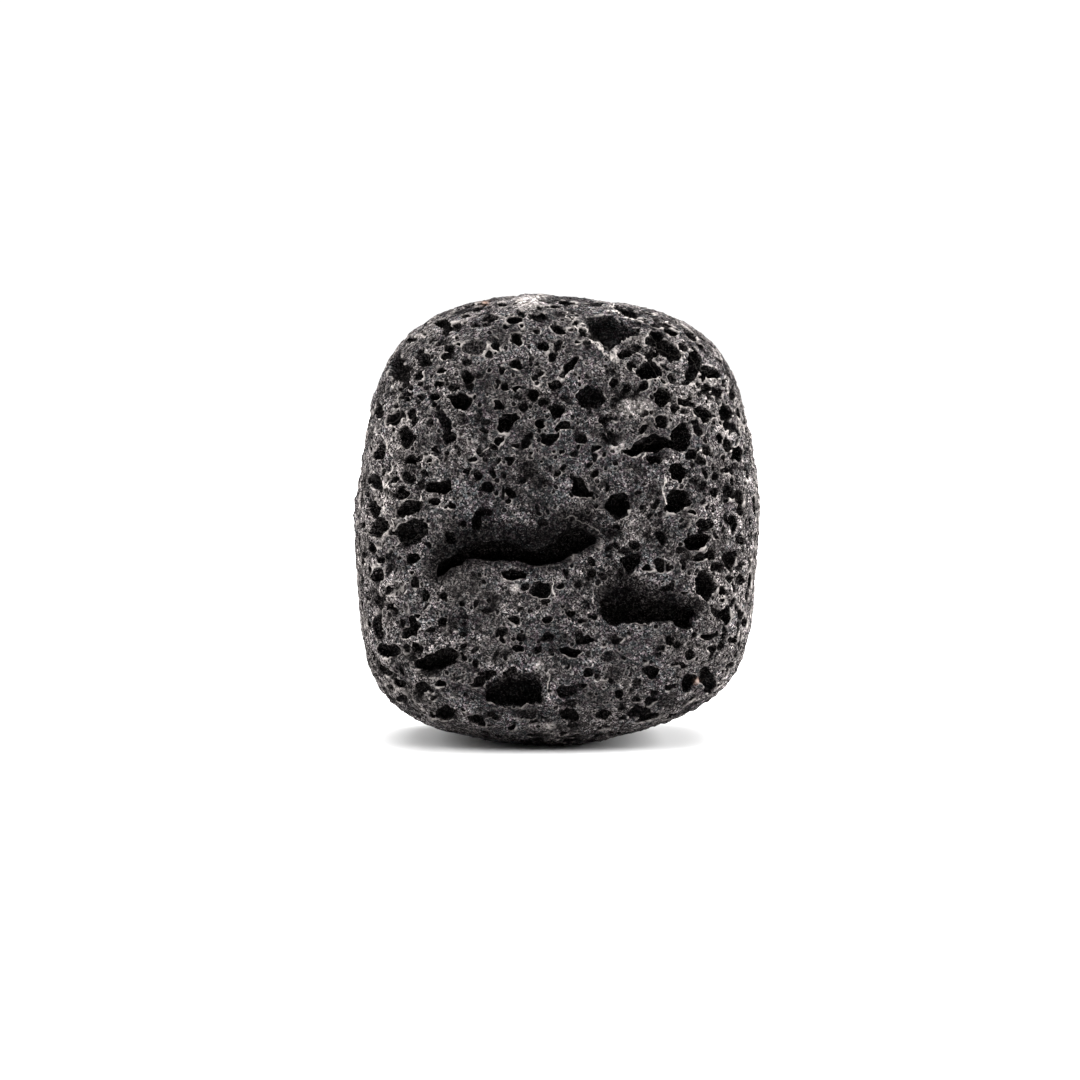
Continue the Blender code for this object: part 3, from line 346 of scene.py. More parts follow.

# Marks of the face, and one painted highlight: right of the middle, height, wide, high
BLOT_REACH = 1.6  # how far out a mark fades away, in its own half sizes
# the wide white one on the top edge, at 2.6 left and 43.6 up, is a painted highlight where the top faces
# the overhead light
WHITE_MARKS_AND_TOP_HIGHLIGHT = (
    (7.8, 33.0, 2.8, 1.5), (7.4, 33.3, 1.2, 0.9), (-2.6, 43.6, 3.0, 1.2), (-11.2, 10.9, 0.7, 0.6),
    (-12.7, 3.8, 0.5, 0.4), (-13.8, 15.4, 0.4, 0.4), (-2.0, 7.2, 0.8, 0.9), (-4.2, 14.9, 0.7, 0.8),
    (-5.4, 15.7, 0.6, 0.5), (-8.0, 29.7, 0.4, 0.4), (4.2, 19.0, 0.7, 0.7), (1.5, 18.0, 0.7, 0.7),
    (-17.3, 25.2, 0.4, 1.2), (3.9, 5.5, 0.4, 0.4), (-0.7, 1.0, 1.0, 0.6), (6.1, 29.0, 1.6, 1.2),
)
RUST_MARKS = ((-7.3, 43.3, 0.7, 0.4), (13.9, 5.6, 0.7, 0.5))

# Strewn pits of the other sides, placed as in the solids
STREWN_SEED = 7
STREWN_COUNT = 146
WIDEST_STREWN = 5.2
STREWN_FALL = 0.29  # how fast they narrow from one to the next
MOST_LONG = 2.0  # one is at most this many times as long as it is wide
LEAST_DEEP = 0.9  # the least depth share
FACE_EDGE = 0.3  # they keep off skin that turns to the eye by more than this
BASE_CLEAR = 3.0  # and off the middle of the flat the stone stands on, by this much
PLACES_TRIED = 5  # each takes the emptiest of this many places
PIT_GAP = 0.5
BOWL_FROM = 1.9  # the solids give a pit this wide more corners, and draw a number for each
BOWL_RIM_POINTS = 8
POINT_RIM_POINTS = 6

# Small pits all round, which the solids leave out
SMALL_SEED = 21
SMALL_COUNT = 4500  # tried, and about a third of them find room
WIDEST_SMALL = 1.35
NARROWEST_SMALL = 0.42
SMALL_FALL = 3.0  # the higher, the more of them are narrow
WIDEST_ON_FACE = 0.62  # the face's wider pits are all listed
SMALL_GAP = 0.08

# The block of numbers that the stone is carved from
FINE_STEP = 0.17
COARSE_STEP = 0.22
FINE_BEFORE = -3.0  # in y, where the steps grow
BLOCK_LOW = (-20.9, -19.2, -0.6)
BLOCK_HIGH = (20.9, 19.2, 45.0)
FORM_STEP = 1.2  # the smooth form is worked out at this spacing and drawn through smoothly

# How broken the surfaces are: (size of the lumps, height)
GRAIN = ((2.2, 0.05), (0.9, 0.045), (0.45, 0.03))
WARP = ((2.4, 0.13), (0.9, 0.08), (0.45, 0.045))
KNOTS_PER_LUMP = 2.5
RIM_ROUNDING = 0.04
RIM_GRID = 0.1  # spacing at which a rim's widest place is looked for
GRAIN_SEED = 3
UNDERCUT = 0.3  # how deep the widest place of a deep pit lies, as a share of its depth
UNDERCUT_FROM = 1.2  # depth share from which a pit widens below its rim
LEAN = 0.12  # how far a pit runs down for each step in
CARVE_SLACK = 0.6  # room round a pit for its broken walls
STRETCH_ALLOWED = 1.3  # how far a pit seen at a slant may reach past its seen size

TRIANGLES = 195_000
FACE_SHARE = 0.66  # of the triangles
FACE_FROM = 0.12  # skin that turns to the eye by more than this is the face
HIGHLIT_LIP_SIDE = (0.35, 0.0, -0.95)  # the side of a pit whose lip gets a painted highlight: its lower side, which faces the light from above


def outline_terms(angle):
    """The waves that make up the outline's radius at an angle about the centre."""
    turns = np.arange(1, OUTLINE_WAVES + 1)
    phase = angle[..., None] * turns
    return np.concatenate([np.ones_like(angle)[..., None], np.cos(phase), np.sin(phase)], axis=-1)


def fitted_outline():
    """How much of each wave the outline holds, fitted to its points."""
    across, height = np.array(OUTLINE).T
    height = height - BASE_EDGE_DROP - CENTRE_HEIGHT
    terms = outline_terms(np.arctan2(height, across))
    return np.linalg.lstsq(terms, np.hypot(across, height), rcond=None)[0]


OUTLINE_SHARES = fitted_outline()
CENTRE = np.array((0.0, 0.0, CENTRE_HEIGHT))


def gauge(points):
    """1 on the skin, less inside and more outside, in proportion to the distance from the centre."""
    offset = np.asarray(points, float) - CENTRE
    across, deep, height = offset[..., 0], offset[..., 1], offset[..., 2]
    angle = np.arctan2(height, across)
    ring = np.hypot(across, height) / (outline_terms(angle) @ OUTLINE_SHARES)
    half_depth = np.where(deep < 0, FRONT_HALF_DEPTH, BACK_HALF_DEPTH)
    power = SIDE_POWER + (BASE_POWER - SIDE_POWER) * np.clip(-np.sin(angle), 0, 1) ** 2
    plain = (ring**power + (np.abs(deep) / half_depth) ** power) ** (1 / power)
    unit = offset / np.maximum(np.linalg.norm(offset, axis=-1, keepdims=True), 1e-9)
    swell = sum(
        rise * np.sin(unit[..., 0] * a + unit[..., 1] * b + unit[..., 2] * c + start)
        for rise, a, b, c, start in SWELLS
    )
    return plain / (1 + swell * np.abs(unit[..., 1]) / CENTRE_HEIGHT)


def slope_at(points):
    """How fast the gauge grows there, as one vector for each point."""
    steps = NORMAL_STEP * np.eye(3)
    ahead = np.stack([gauge(points + step) for step in steps], axis=-1)
    behind = np.stack([gauge(points - step) for step in steps], axis=-1)
    return (ahead - behind) / (2 * NORMAL_STEP)


def normal_at(points):
    slope = slope_at(points)
    return slope / np.linalg.norm(slope, axis=-1, keepdims=True)


def seen_point(across, height):
    """The point of the skin that the eye meets at this place on the middle plane."""
    eye = np.array(EYE)
    place = np.array((across, 0.0, height - BASE_EDGE_DROP))
    place = CENTRE + (place - CENTRE) * min(1, SURE_INSIDE / gauge(place))
    near, far = SIGHT_STARTS, 1.0
    for _ in range(SIGHT_HALVINGS):
        middle = (near + far) / 2
        if gauge(eye + (place - eye) * middle) > 1:
            near = middle
        else:
            far = middle
    return eye + (place - eye) * far


def face_seat(across, height):
    """Where a face pit sits, its axis, and what one millimetre right and up of the view is there."""
    point = seen_point(across, height)
    eye = np.array(EYE)
    sight = (point - eye) / np.linalg.norm(point - eye)
    axis = normal_at(point)
    while -axis @ sight < LEAST_FACING:
        axis = axis - SMALL_TURN * sight
        axis = axis / np.linalg.norm(axis)
    near = np.linalg.norm(point - eye) / np.linalg.norm(np.array((across, 0.0, height)) - eye)
    right = np.cross(sight, (0.0, 0.0, 1.0))
    right = right / np.linalg.norm(right)
    up = np.cross(right, sight)
    right = (right - sight * (right @ axis) / (sight @ axis)) * near
    up = (up - sight * (up @ axis) / (sight @ axis)) * near
    return point, axis, right, up


def ellipse_rim(wide, high, tilt=0.0):
    """A rim as (nearness function, half its least width, how far it reaches)."""
    lean = math.radians(tilt)

    def nearness(across, up):
        along = across * math.cos(lean) + up * math.sin(lean)
        beside = up * math.cos(lean) - across * math.sin(lean)
        return np.hypot(along * 2 / wide, beside * 2 / high)

    return nearness, min(wide, high) / 2, max(wide, high) / 2


def edge_distance(edge, across, up):
    """Distance to a closed edge, below zero inside it."""
    ends = np.roll(edge, -1, axis=0)
    closest = np.full(across.shape, np.inf)
    inside = np.zeros(across.shape, bool)
    for (x0, y0), (x1, y1) in zip(edge, ends):
        dx, dy = x1 - x0, y1 - y0
        share = np.clip(((across - x0) * dx + (up - y0) * dy) / (dx * dx + dy * dy), 0, 1)
        gap = (across - x0 - share * dx) ** 2 + (up - y0 - share * dy) ** 2
        closest = np.minimum(closest, gap)
        crosses = (y0 > up) != (y1 > up)
        if dy:
            inside ^= crosses & (across < x0 + (up - y0) * dx / dy)
    return np.where(inside, -1, 1) * np.sqrt(closest)


def polygon_rim(edge):
    """The same for a rim given by its corners about its middle."""
    low, high = edge.min(axis=0), edge.max(axis=0)
    across, up = np.meshgrid(*(np.arange(*span, RIM_GRID) for span in zip(low, high)))
    half = -edge_distance(edge, across, up).min()

    def nearness(across, up):
        return 1 + edge_distance(edge, across, up) / half

    return nearness, half, np.linalg.norm(edge, axis=1).max()


def face_pit(share, across, height, wide, high=None, tilt=0):
    """(seat, rim, depth, depth share) of one rounded pit of the face."""
    high = high or wide
    depth = share * math.sqrt(wide * high) / 2
    return face_seat(across, height), ellipse_rim(wide, high, tilt), depth, share


def face_pits():
    """The same of every pit and opening of the face."""
    for share, pits in FACE_PITS:
        for pit in pits:
            yield face_pit(share, *pit)
    for depth, edge in FACE_OPENINGS:
        rim = np.array(edge)
        middle = (rim.min(axis=0) + rim.max(axis=0)) / 2
        yield face_seat(*middle), polygon_rim(rim - middle), depth, DEEP


def towards_eye(points):
    """1 where the skin faces the eye, 0 where it turns edge on, and less behind."""
    sight = points - np.array(EYE)
    sight = sight / np.linalg.norm(sight, axis=-1, keepdims=True)
    return -(normal_at(points) * sight).sum(axis=-1)


def turned_pit(point, axis, turn, width, long, share):
    """(seat, rim, depth, depth share) of a pit of this mean width, turned its own way."""
    right = np.cross(axis, turn)
    right = right / np.linalg.norm(right)
    seat = (point, axis, right, np.cross(axis, right))
    return seat, ellipse_rim(width * long, width / long), share * width / 2, share


def strewn_places(chance):
    """(point, axis, width) of the wide pits of the other sides, drawn as the solids' are."""
    placed = []
    while len(placed) < STREWN_COUNT:
        width = WIDEST_STREWN * (len(placed) + 1) ** -STREWN_FALL
        best_room = PIT_GAP
        best = None
        for _ in range(PLACES_TRIED):
            way = chance.standard_normal(3)
            point = CENTRE + way / gauge(CENTRE + way)
            axis = normal_at(point)
            room = min(
                (np.linalg.norm(point - other) - (width + wide) / 2 for other, _, wide in placed),
                default=WIDEST_STREWN,
            )
            on_flat = point[2] < width / 2
            on_flat = on_flat and math.hypot(point[0], point[1]) < BASE_CLEAR + width / 2
            behind = towards_eye(point) < FACE_EDGE - width / CENTRE_HEIGHT
            if room > best_room and behind and not on_flat:
                best_room = room
                best = (point, axis, width)
        if best:
            placed.append(best)
    return placed


def strewn_pits():
    chance = np.random.default_rng(STREWN_SEED)
    for point, axis, width in strewn_places(chance):
        turn = chance.standard_normal(3)
        long = chance.uniform(1, MOST_LONG) ** 0.5
        share = chance.uniform(LEAST_DEEP, DEEP)
        chance.standard_normal(BOWL_RIM_POINTS if width > BOWL_FROM else POINT_RIM_POINTS)
        yield turned_pit(point, axis, turn, width, long, share)


def small_pits(others):
    """Small pits in what room the others leave."""
    chance = np.random.default_rng(SMALL_SEED)
    centres = [seat[0] for seat, *_ in others]
    reaches = [rim[2] for _, rim, *_ in others]
    narrowing = np.linspace(0, 1, SMALL_COUNT) ** (1 / SMALL_FALL)
    for width in WIDEST_SMALL + (NARROWEST_SMALL - WIDEST_SMALL) * narrowing:
        way = chance.standard_normal(3)
        long = chance.uniform(1, MOST_LONG) ** 0.5
        share = chance.uniform(LEAST_DEEP, DEEP)
        turn = chance.standard_normal(3)
        point = CENTRE + way / gauge(CENTRE + way)
        if point[2] < width / 2:
            continue
        apart = np.linalg.norm(np.array(centres) - point, axis=1) - np.array(reaches)
        if apart.min() < width / 2 + SMALL_GAP:
            continue
        if width > WIDEST_ON_FACE and towards_eye(point) > FACE_EDGE:
            continue
        centres.append(point)
        reaches.append(width / 2)
        yield turned_pit(point, normal_at(point), turn, width, long, share)


def graded(low, high, fine_before):
    """Places along one side of the block: fine steps up to a place, and wider ones after it."""
    fine = np.arange(low, min(fine_before, high), FINE_STEP)
    coarse = np.arange(fine[-1] + COARSE_STEP, high, COARSE_STEP) if fine_before < high else []
    return np.concatenate([fine, coarse])


def drawn_through(distance):
    """How much a knot counts at this many knots away, on a curve that meets every knot."""
    near = 1.5 * distance**3 - 2.5 * distance**2 + 1
    far = -0.5 * distance**3 + 2.5 * distance**2 - 4 * distance + 2
    return np.where(distance < 1, near, np.where(distance < 2, far, 0))


def smoothed(distance):
    """The same on a curve that only follows the knots, with no sharp bend."""
    near = 2 / 3 - distance**2 + distance**3 / 2
    far = np.maximum(2 - distance, 0) ** 3 / 6
    return np.where(distance < 1, near, far)


def spread(values, knots, sides, weight):
    """Knot values spread over the whole block, one side after another."""
    for along in range(3):
        step = knots[along][1] - knots[along][0]
        spot = (sides[along] - knots[along][0]) / step
        first = np.floor(spot).astype(int) - 1
        spread_out = 0
        for k in range(4):
            share = weight(np.abs(spot - first - k)).astype(np.float32)
            share = share.reshape([-1 if side == along else 1 for side in range(3)])
            spread_out = spread_out + values.take(first + k, axis=along) * share
        values = spread_out
    return values


def knots_for(sides, step):
    return [np.arange(side[0] - 2 * step, side[-1] + 3 * step, step) for side in sides]


def lumps(sides, scales, chance):
    """A rough field over the block: for each (size, height), lumps of that size and height."""
    total = 0
    for size, height in scales:
        knots = knots_for(sides, size / KNOTS_PER_LUMP)
        values = chance.standard_normal([len(k) for k in knots], dtype=np.float32)
        made = spread(values, knots, sides, smoothed)
        total = total + made * np.float32(height / made.std())
    return total


def smooth_form(sides):
    """Distance from the smooth skin, below zero inside, at every place of the block."""
    knots = knots_for(sides, FORM_STEP)
    places = np.stack(np.meshgrid(*knots, indexing="ij"), axis=-1)
    distance = (gauge(places) - 1) / np.linalg.norm(slope_at(places), axis=-1)
    return spread(distance.astype(np.float32), knots, sides, drawn_through)


def carve(hollows, widths, form, warp, sides, pit):
    """Takes one pit out of the block: hollows is below zero inside any pit, and widths is the
    half width of the nearest."""
    (point, axis, right, up), (nearness, half, reach), depth, share = pit
    reach = reach * STRETCH_ALLOWED + depth + CARVE_SLACK
    box = tuple(
        slice(*np.searchsorted(side, (middle - reach, middle + reach)))
        for side, middle in zip(sides, point)
    )
    near = [side[span] - middle for side, span, middle in zip(sides, box, point)]
    grid = np.meshgrid(*near, indexing="ij")
    offset = [np.float32(g) + w[box] for g, w in zip(grid, warp)]
    plane = np.linalg.inv(np.array([[right @ right, right @ up], [right @ up, up @ up]]))
    to_right, to_up = plane @ np.array([right, up])
    across = sum(o * np.float32(t) for o, t in zip(offset, to_right))
    rise = sum(o * np.float32(t) for o, t in zip(offset, to_up))
    under = np.maximum(-form[box], 0)
    sink = UNDERCUT * depth if share > UNDERCUT_FROM else 0.0
    tall = depth - sink
    if share <= FUNNEL:
        hollow = nearness(across, rise) + under / depth - 1
    else:
        widen = math.sqrt(1 - (sink / tall) ** 2)
        rise = rise + np.float32(LEAN) * np.minimum(under, half)
        hollow = np.hypot(nearness(across, rise) * widen, (under - sink) / tall) - 1
    hollow = hollow * min(half, 2 * tall)
    widths[box] = np.where(hollow < hollows[box], half, widths[box])
    hollows[box] = np.minimum(hollows[box], hollow)


def merged(first, second):
    """The larger of two fields, with the bend where they meet rounded off."""
    mix = np.clip(0.5 + 0.5 * (first - second) / RIM_ROUNDING, 0, 1)
    return second + (first - second) * mix + RIM_ROUNDING * mix * (1 - mix)


def zero_surface(field, sides):
    """Corners and four-sided faces of the surface where the field is zero."""
    inside = field < 0
    cells = [n - 1 for n in field.shape]
    count = np.zeros(cells, np.int8)
    for corner in np.ndindex(2, 2, 2):
        count += inside[tuple(slice(c, c + n) for c, n in zip(corner, cells))]
    crossed = (count > 0) & (count < 8)
    cell = np.argwhere(crossed)
    number = np.full(cells, -1, np.int32)
    number[crossed] = np.arange(len(cell))
    total = np.zeros((len(cell), 3))
    hits = np.zeros(len(cell))
    faces = []
    for along in range(3):
        second, third = (along + 1) % 3, (along + 2) % 3
        for shift in np.ndindex(2, 2):
            start = cell.copy()
            start[:, [second, third]] += shift
            end = start.copy()
            end[:, along] += 1
            before, after = field[tuple(start.T)], field[tuple(end.T)]
            hit = (before < 0) != (after < 0)
            share = before[hit] / (before[hit] - after[hit])
            low = np.stack([side[start[hit, k]] for k, side in enumerate(sides)], axis=1)
            high = np.stack([side[end[hit, k]] for k, side in enumerate(sides)], axis=1)
            total[hit] += low + (high - low) * share[:, None]
            hits[hit] += 1
        lower = np.take(inside, range(cells[along]), axis=along)
        upper = np.take(inside, range(1, cells[along] + 1), axis=along)
        edge = np.argwhere(lower != upper)
        corners = []
        for shift in ((0, 0), (-1, 0), (-1, -1), (0, -1)):
            beside = edge.copy()
            beside[:, [second, third]] += shift
            corners.append(number[tuple(beside.T)])
        quad = np.stack(corners, axis=1)
        outward = lower[tuple(edge.T)]
        faces.append(np.where(outward[:, None], quad, quad[:, ::-1]))
    return total / hits[:, None], np.concatenate(faces)


def largest_part(points, quads):
    """The surface without crumbs that the pits cut loose, and without bubbles sealed inside."""
    label = np.arange(len(points))
    ends = np.concatenate([quads[:, [k, (k + 1) % 4]] for k in range(4)])
    while True:
        least = np.minimum(label[ends[:, 0]], label[ends[:, 1]])
        fresh = label.copy()
        np.minimum.at(fresh, ends[:, 0], least)
        np.minimum.at(fresh, ends[:, 1], least)
        fresh = fresh[fresh]
        if (fresh == label).all():
            break
        label = fresh
    kept = label == np.bincount(label).argmax()
    renumbered = np.cumsum(kept) - 1
    return points[kept], renumbered[quads[kept[quads[:, 0]]]]


def sampled(values, sides, points):
    """Block values read off at points between its places."""
    spots = []
    shares = []
    for side, place in zip(sides, points.T):
        spot = np.clip(np.searchsorted(side, place) - 1, 0, len(side) - 2)
        spots.append(spot)
        shares.append((place - side[spot]) / (side[spot + 1] - side[spot]))
    total = 0
    for corner in np.ndindex(2, 2, 2):
        weight = math.prod(s if c else 1 - s for c, s in zip(corner, shares))
        total = total + weight * values[tuple(spot + c for c, spot in zip(corner, spots))]
    return total


def corners_of(mesh):
    """A mesh's corners, in millimetres."""
    places = np.empty(len(mesh.vertices) * 3, np.float32)
    mesh.vertices.foreach_get("co", places)
    return places.reshape(-1, 3) / MM


def new_mesh_object(name, points, faces):
    mesh = bpy.data.meshes.new(name)
    mesh.vertices.add(len(points))
    mesh.vertices.foreach_set("co", np.asarray(points, np.float32).ravel())
    mesh.loops.add(faces.size)
    mesh.loops.foreach_set("vertex_index", faces.astype(np.int32).ravel())
    mesh.polygons.add(len(faces))
    mesh.polygons.foreach_set("loop_start", np.arange(0, faces.size, faces.shape[1], dtype=np.int32))
    mesh.update(calc_edges=True)
    mesh.validate()
    made = bpy.data.objects.new(name, mesh)
    bpy.context.scene.collection.objects.link(made)
    return made


def thin(stone, chosen, triangles):
    """Thins the chosen corners' part of the stone, so that the whole comes down to so many triangles."""
    group = stone.vertex_groups.new(name="thinned")
    group.add(np.flatnonzero(chosen).tolist(), 1.0, "REPLACE")
    modifier = stone.modifiers.new("thinned", "DECIMATE")
    modifier.ratio = triangles / sum(len(face.vertices) - 2 for face in stone.data.polygons)
    modifier.vertex_group = group.name
    graph = bpy.context.evaluated_depsgraph_get()
    mesh = bpy.data.meshes.new_from_object(stone.evaluated_get(graph))
    stone.modifiers.clear()
    stone.vertex_groups.clear()
    stone.data = mesh
    mesh.name = stone.name


def on_table(points):
    """(right of the middle, height) at which the eye sees each point."""
    share = -EYE[1] / (points[:, 1] - EYE[1])
    return EYE[0] + (points[:, 0] - EYE[0]) * share, EYE[2] + (points[:, 2] - EYE[2]) * share


def slope_shade_marks(points):
    """How far out from an opening with painted shade on its slopes each point lies, as a share of the
    shade's reach.
    """
    nearest = np.full(len(points), FAR)
    across, height = on_table(points)
    for depth, edge in FACE_OPENINGS:
        reach = depth - SHADED_SLOPE_FROM
        if reach > 0:
            for rise in (0.0, SLOPE_RISE * reach):
                away = edge_distance(np.array(edge), across, height - rise)
                nearest = np.minimum(nearest, away / reach)
    return np.where(towards_eye(points) > 0, nearest, FAR)


def ridge_marks(points):
    """Signed distance from the nearest ridge, and 1 within reach of it."""
    across, height = on_table(points)
    nearest = np.full(len(points), FAR)
    signed = np.zeros(len(points))
    for ridge in RIDGES:
        for (x0, z0), (x1, z1) in zip(ridge, ridge[1:]):
            dx, dz = x1 - x0, z1 - z0
            share = ((across - x0) * dx + (height - z0) * dz) / (dx * dx + dz * dz)
            share = np.clip(share, 0, 1)
            gap = np.hypot(across - x0 - share * dx, height - z0 - share * dz)
            side = np.sign((across - x0) * dz - (height - z0) * dx)
            signed = np.where(gap < nearest, gap * side, signed)
            nearest = np.minimum(gap, nearest)
    near = (nearest < RIDGE_REACH) & (towards_eye(points) > 0)
    return signed, near.astype(float)


def blot_marks(points, blots):
    """How strongly each point lies in one of the blots, from 0 to 1."""
    across, height = on_table(points)
    strength = np.zeros(len(points))
    for middle, level, wide, high in blots:
        away = np.hypot((across - middle) * 2 / wide, (height - level) * 2 / high)
        strength = np.maximum(strength, np.clip(BLOT_REACH - away, 0, 1))
    return np.where(towards_eye(points) > 0, strength, 0.0)


def block_sides():
    """The block's places along its three sides, wider apart behind the face."""
    ranges = zip(BLOCK_LOW, BLOCK_HIGH, (math.inf, FINE_BEFORE, math.inf))
    return [graded(low, high, fine_before) for low, high, fine_before in ranges]


def carved_block(sides):
    """Over the block: the smooth form, the nearness to a pit, that pit's half width, and the stone."""
    chance = np.random.default_rng(GRAIN_SEED)
    form = smooth_form(sides)
    warp = [lumps(sides, WARP, chance) for _ in range(3)]
    listed = [*face_pits(), *strewn_pits()]
    hollows = np.full(form.shape, FAR, np.float32)
    widths = np.ones(form.shape, np.float32)
    for pit in [*listed, *small_pits(listed)]:
        carve(hollows, widths, form, warp, sides, pit)
    skin = np.maximum(form + lumps(sides, GRAIN, chance), -np.float32(sides[2]))
    return form, hollows, widths, merged(skin, -hollows)


def thinned_stone(points, quads):
    """The stone as one mesh, with its spare corners thinned out, and most of the rest on the face."""
    stone = new_mesh_object(PIECE, points * MM, quads)
    facing = towards_eye(points)
    on_face = (facing > FACE_FROM)[quads[:, 0]].sum() * 2
    thin(stone, facing <= FACE_FROM, on_face + TRIANGLES * (1 - FACE_SHARE))
    thin(stone, towards_eye(corners_of(stone.data)) > FACE_FROM, TRIANGLES)
    return stone


def lip_highlight_marks(hollows, sides, points):
    """How far each point lies on the side of its pit that gets a painted highlight, from 0 to 1."""
    away = [
        sampled(hollows, sides, points + step) - sampled(hollows, sides, points - step)
        for step in np.eye(3) * FINE_STEP
    ]
    away = np.stack(away, axis=1)
    away = away / np.maximum(np.linalg.norm(away, axis=1, keepdims=True), 1e-6)
    return np.clip(away @ np.array(HIGHLIT_LIP_SIDE), 0, 1)


def carved_stone():
    """The stone, each corner marked with what its material needs to know of the pits and marks."""
    sides = block_sides()
    form, hollows, widths, field = carved_block(sides)
    stone = thinned_stone(*largest_part(*zero_surface(field, sides)))
    places = corners_of(stone.data)
    depth = np.maximum(-sampled(form, sides, places), 0)
    ridge, ridge_near = ridge_marks(places)
    marks = {
        "depth": depth,
        "sunk": depth / sampled(widths, sides, places),
        "beside": np.maximum(sampled(hollows, sides, places), 0),
        "lip": lip_highlight_marks(hollows, sides, places),
        "slope": slope_shade_marks(places),
        "ridge": ridge,
        "ridge_near": ridge_near,
        "white": blot_marks(places, WHITE_MARKS_AND_TOP_HIGHLIGHT),
        "rust": blot_marks(places, RUST_MARKS),
    }
    for name, values in marks.items():
        made = stone.data.attributes.new(name, "FLOAT", "POINT")
        made.data.foreach_set("value", values.astype(np.float32))
    stone.data.shade_smooth()
    return stone


# Stone, as linear colours
COOL_STONE = (0.0252, 0.0282, 0.0300, 1)
WARM_STONE = (0.0590, 0.0535, 0.0520, 1)
MAUVE_STONE = (0.0410, 0.0325, 0.0370, 1)
# the pale colour of rims, ridges and white marks, also used for the painted highlights
PALE_COLOUR_AND_HIGHLIGHT = (0.68, 0.625, 0.59, 1)
RUST = (0.70, 0.42, 0.30, 1)
STONE_ROUGHNESS = 0.82
GRAIN_CONTRAST = 180.0  # the lightest grain against the darkest
FINE_GRAIN = 0.12
FINE_SHARE = 0.7
COARSE_GRAIN = 0.28
WARM_PATCH = 4.0
MOTTLE = 1.3
MOTTLE_RISE = 0.07
CALM_PATCH = 3.1
FLANK = (9.0, 19.0)  # the stone is warmer, lighter and more contrasted from here out to here, to either side: painted light from the bright surround
CROWN = (27.0, 38.0)  # and its rims are pale all round from here up to here, partly worn and partly painted light from above
PINHOLE_SPACING = 0.8
PINHOLE_BENDS = 1800.0  # to a metre
PINHOLE_BEND = 0.0004  # metres
PINHOLE_REACH = 0.34  # the widest, as a share of the spacing
RIM_WIDTH = 0.13
RIM_SHARE = 0.65
RIDGE_WIDTH = 0.11
RIDGE_JAGS = ((1.1, 0.26), (0.45, 0.09))  # (length, how far aside)
RIDGE_SHARE = 0.8
WHITE_SHARE = 0.18
WHITE_LIFT = 1.5
RUST_SHARE = 0.3
# Pits are darkened by their depth: partly the darker glassy stone inside them, partly painted shade beyond
# what the lamps give
DARKEST = 0.1  # what is left of the colour deep in a pit
SUNK = (0.04, 0.9)  # how deep a pit starts to darken and is darkest, in its own half widths
# how far the painted shade on the slopes round the deepest openings goes towards the darkest
SLOPE_SHADE = 0.85
BUMP_HEIGHT = 0.12
BUMP_STRENGTH = 0.75


class Nodes:
    """A material's nodes, added one at a time."""

    def __init__(self, name):
        self.material = bpy.data.materials.new(name)
        self.material.use_nodes = True
        self.tree = self.material.node_tree
        self.surface = self.tree.nodes["Principled BSDF"]

    def add(self, kind, inputs=(), **settings):
        """A node with its settings, and its inputs as numbers or as the sockets that feed them."""
        made = self.tree.nodes.new(kind)
        for name, value in settings.items():
            setattr(made, name, value)
        for name, value in dict(inputs).items():
            if isinstance(value, bpy.types.NodeSocket):
                self.tree.links.new(value, made.inputs[name])
            else:
                made.inputs[name].default_value = value
        return made

    def math(self, operation, first, second=0.0):
        return self.add("ShaderNodeMath", {0: first, 1: second}, operation=operation).outputs[0]

    def plus(self, first, second):
        return self.math("ADD", first, second)

    def minus(self, first, second):
        return self.math("SUBTRACT", first, second)

    def times(self, first, second):
        return self.math("MULTIPLY", first, second)

    def larger(self, first, second):
        return self.math("MAXIMUM", first, second)

    def stretch(self, value, low, high, to_low=0.0, to_high=1.0):
        """A value drawn out from one range to another, and held at its ends."""
        inputs = {"Value": value, 1: low, 2: high, 3: to_low, 4: to_high}
        return self.add("ShaderNodeMapRange", inputs).outputs[0]

    def mix(self, share, first, second, blend="MIX"):
        inputs = {0: share, 6: first, 7: second}
        return self.add("ShaderNodeMix", inputs, data_type="RGBA", blend_type=blend).outputs[2]

    def scaled(self, colour, by):
        """A colour, each part of it times the same number."""
        grey = self.add("ShaderNodeCombineColor", {0: by, 1: by, 2: by}).outputs[0]
        return self.mix(1.0, colour, grey, "MULTIPLY")

    def noise(self, place, size, detail=2.0, roughness=0.5):
        inputs = {"Vector": place, "Scale": 1 / (size * MM), "Detail": detail, "Roughness": roughness}
        return self.add("ShaderNodeTexNoise", inputs).outputs["Fac"]

    def cells(self, place, size):
        inputs = {"Vector": place, "Scale": 1 / (size * MM)}
        return self.add("ShaderNodeTexVoronoi", inputs, feature="F1").outputs

    def chances(self, colour):
        """Three numbers between 0 and 1, out of a colour."""
        return self.add("ShaderNodeSeparateColor", {0: colour}).outputs

    def parts(self, vector):
        return self.add("ShaderNodeSeparateXYZ", {0: vector}).outputs

    def mark(self, name):
        return self.add("ShaderNodeAttribute", attribute_name=name).outputs["Fac"]


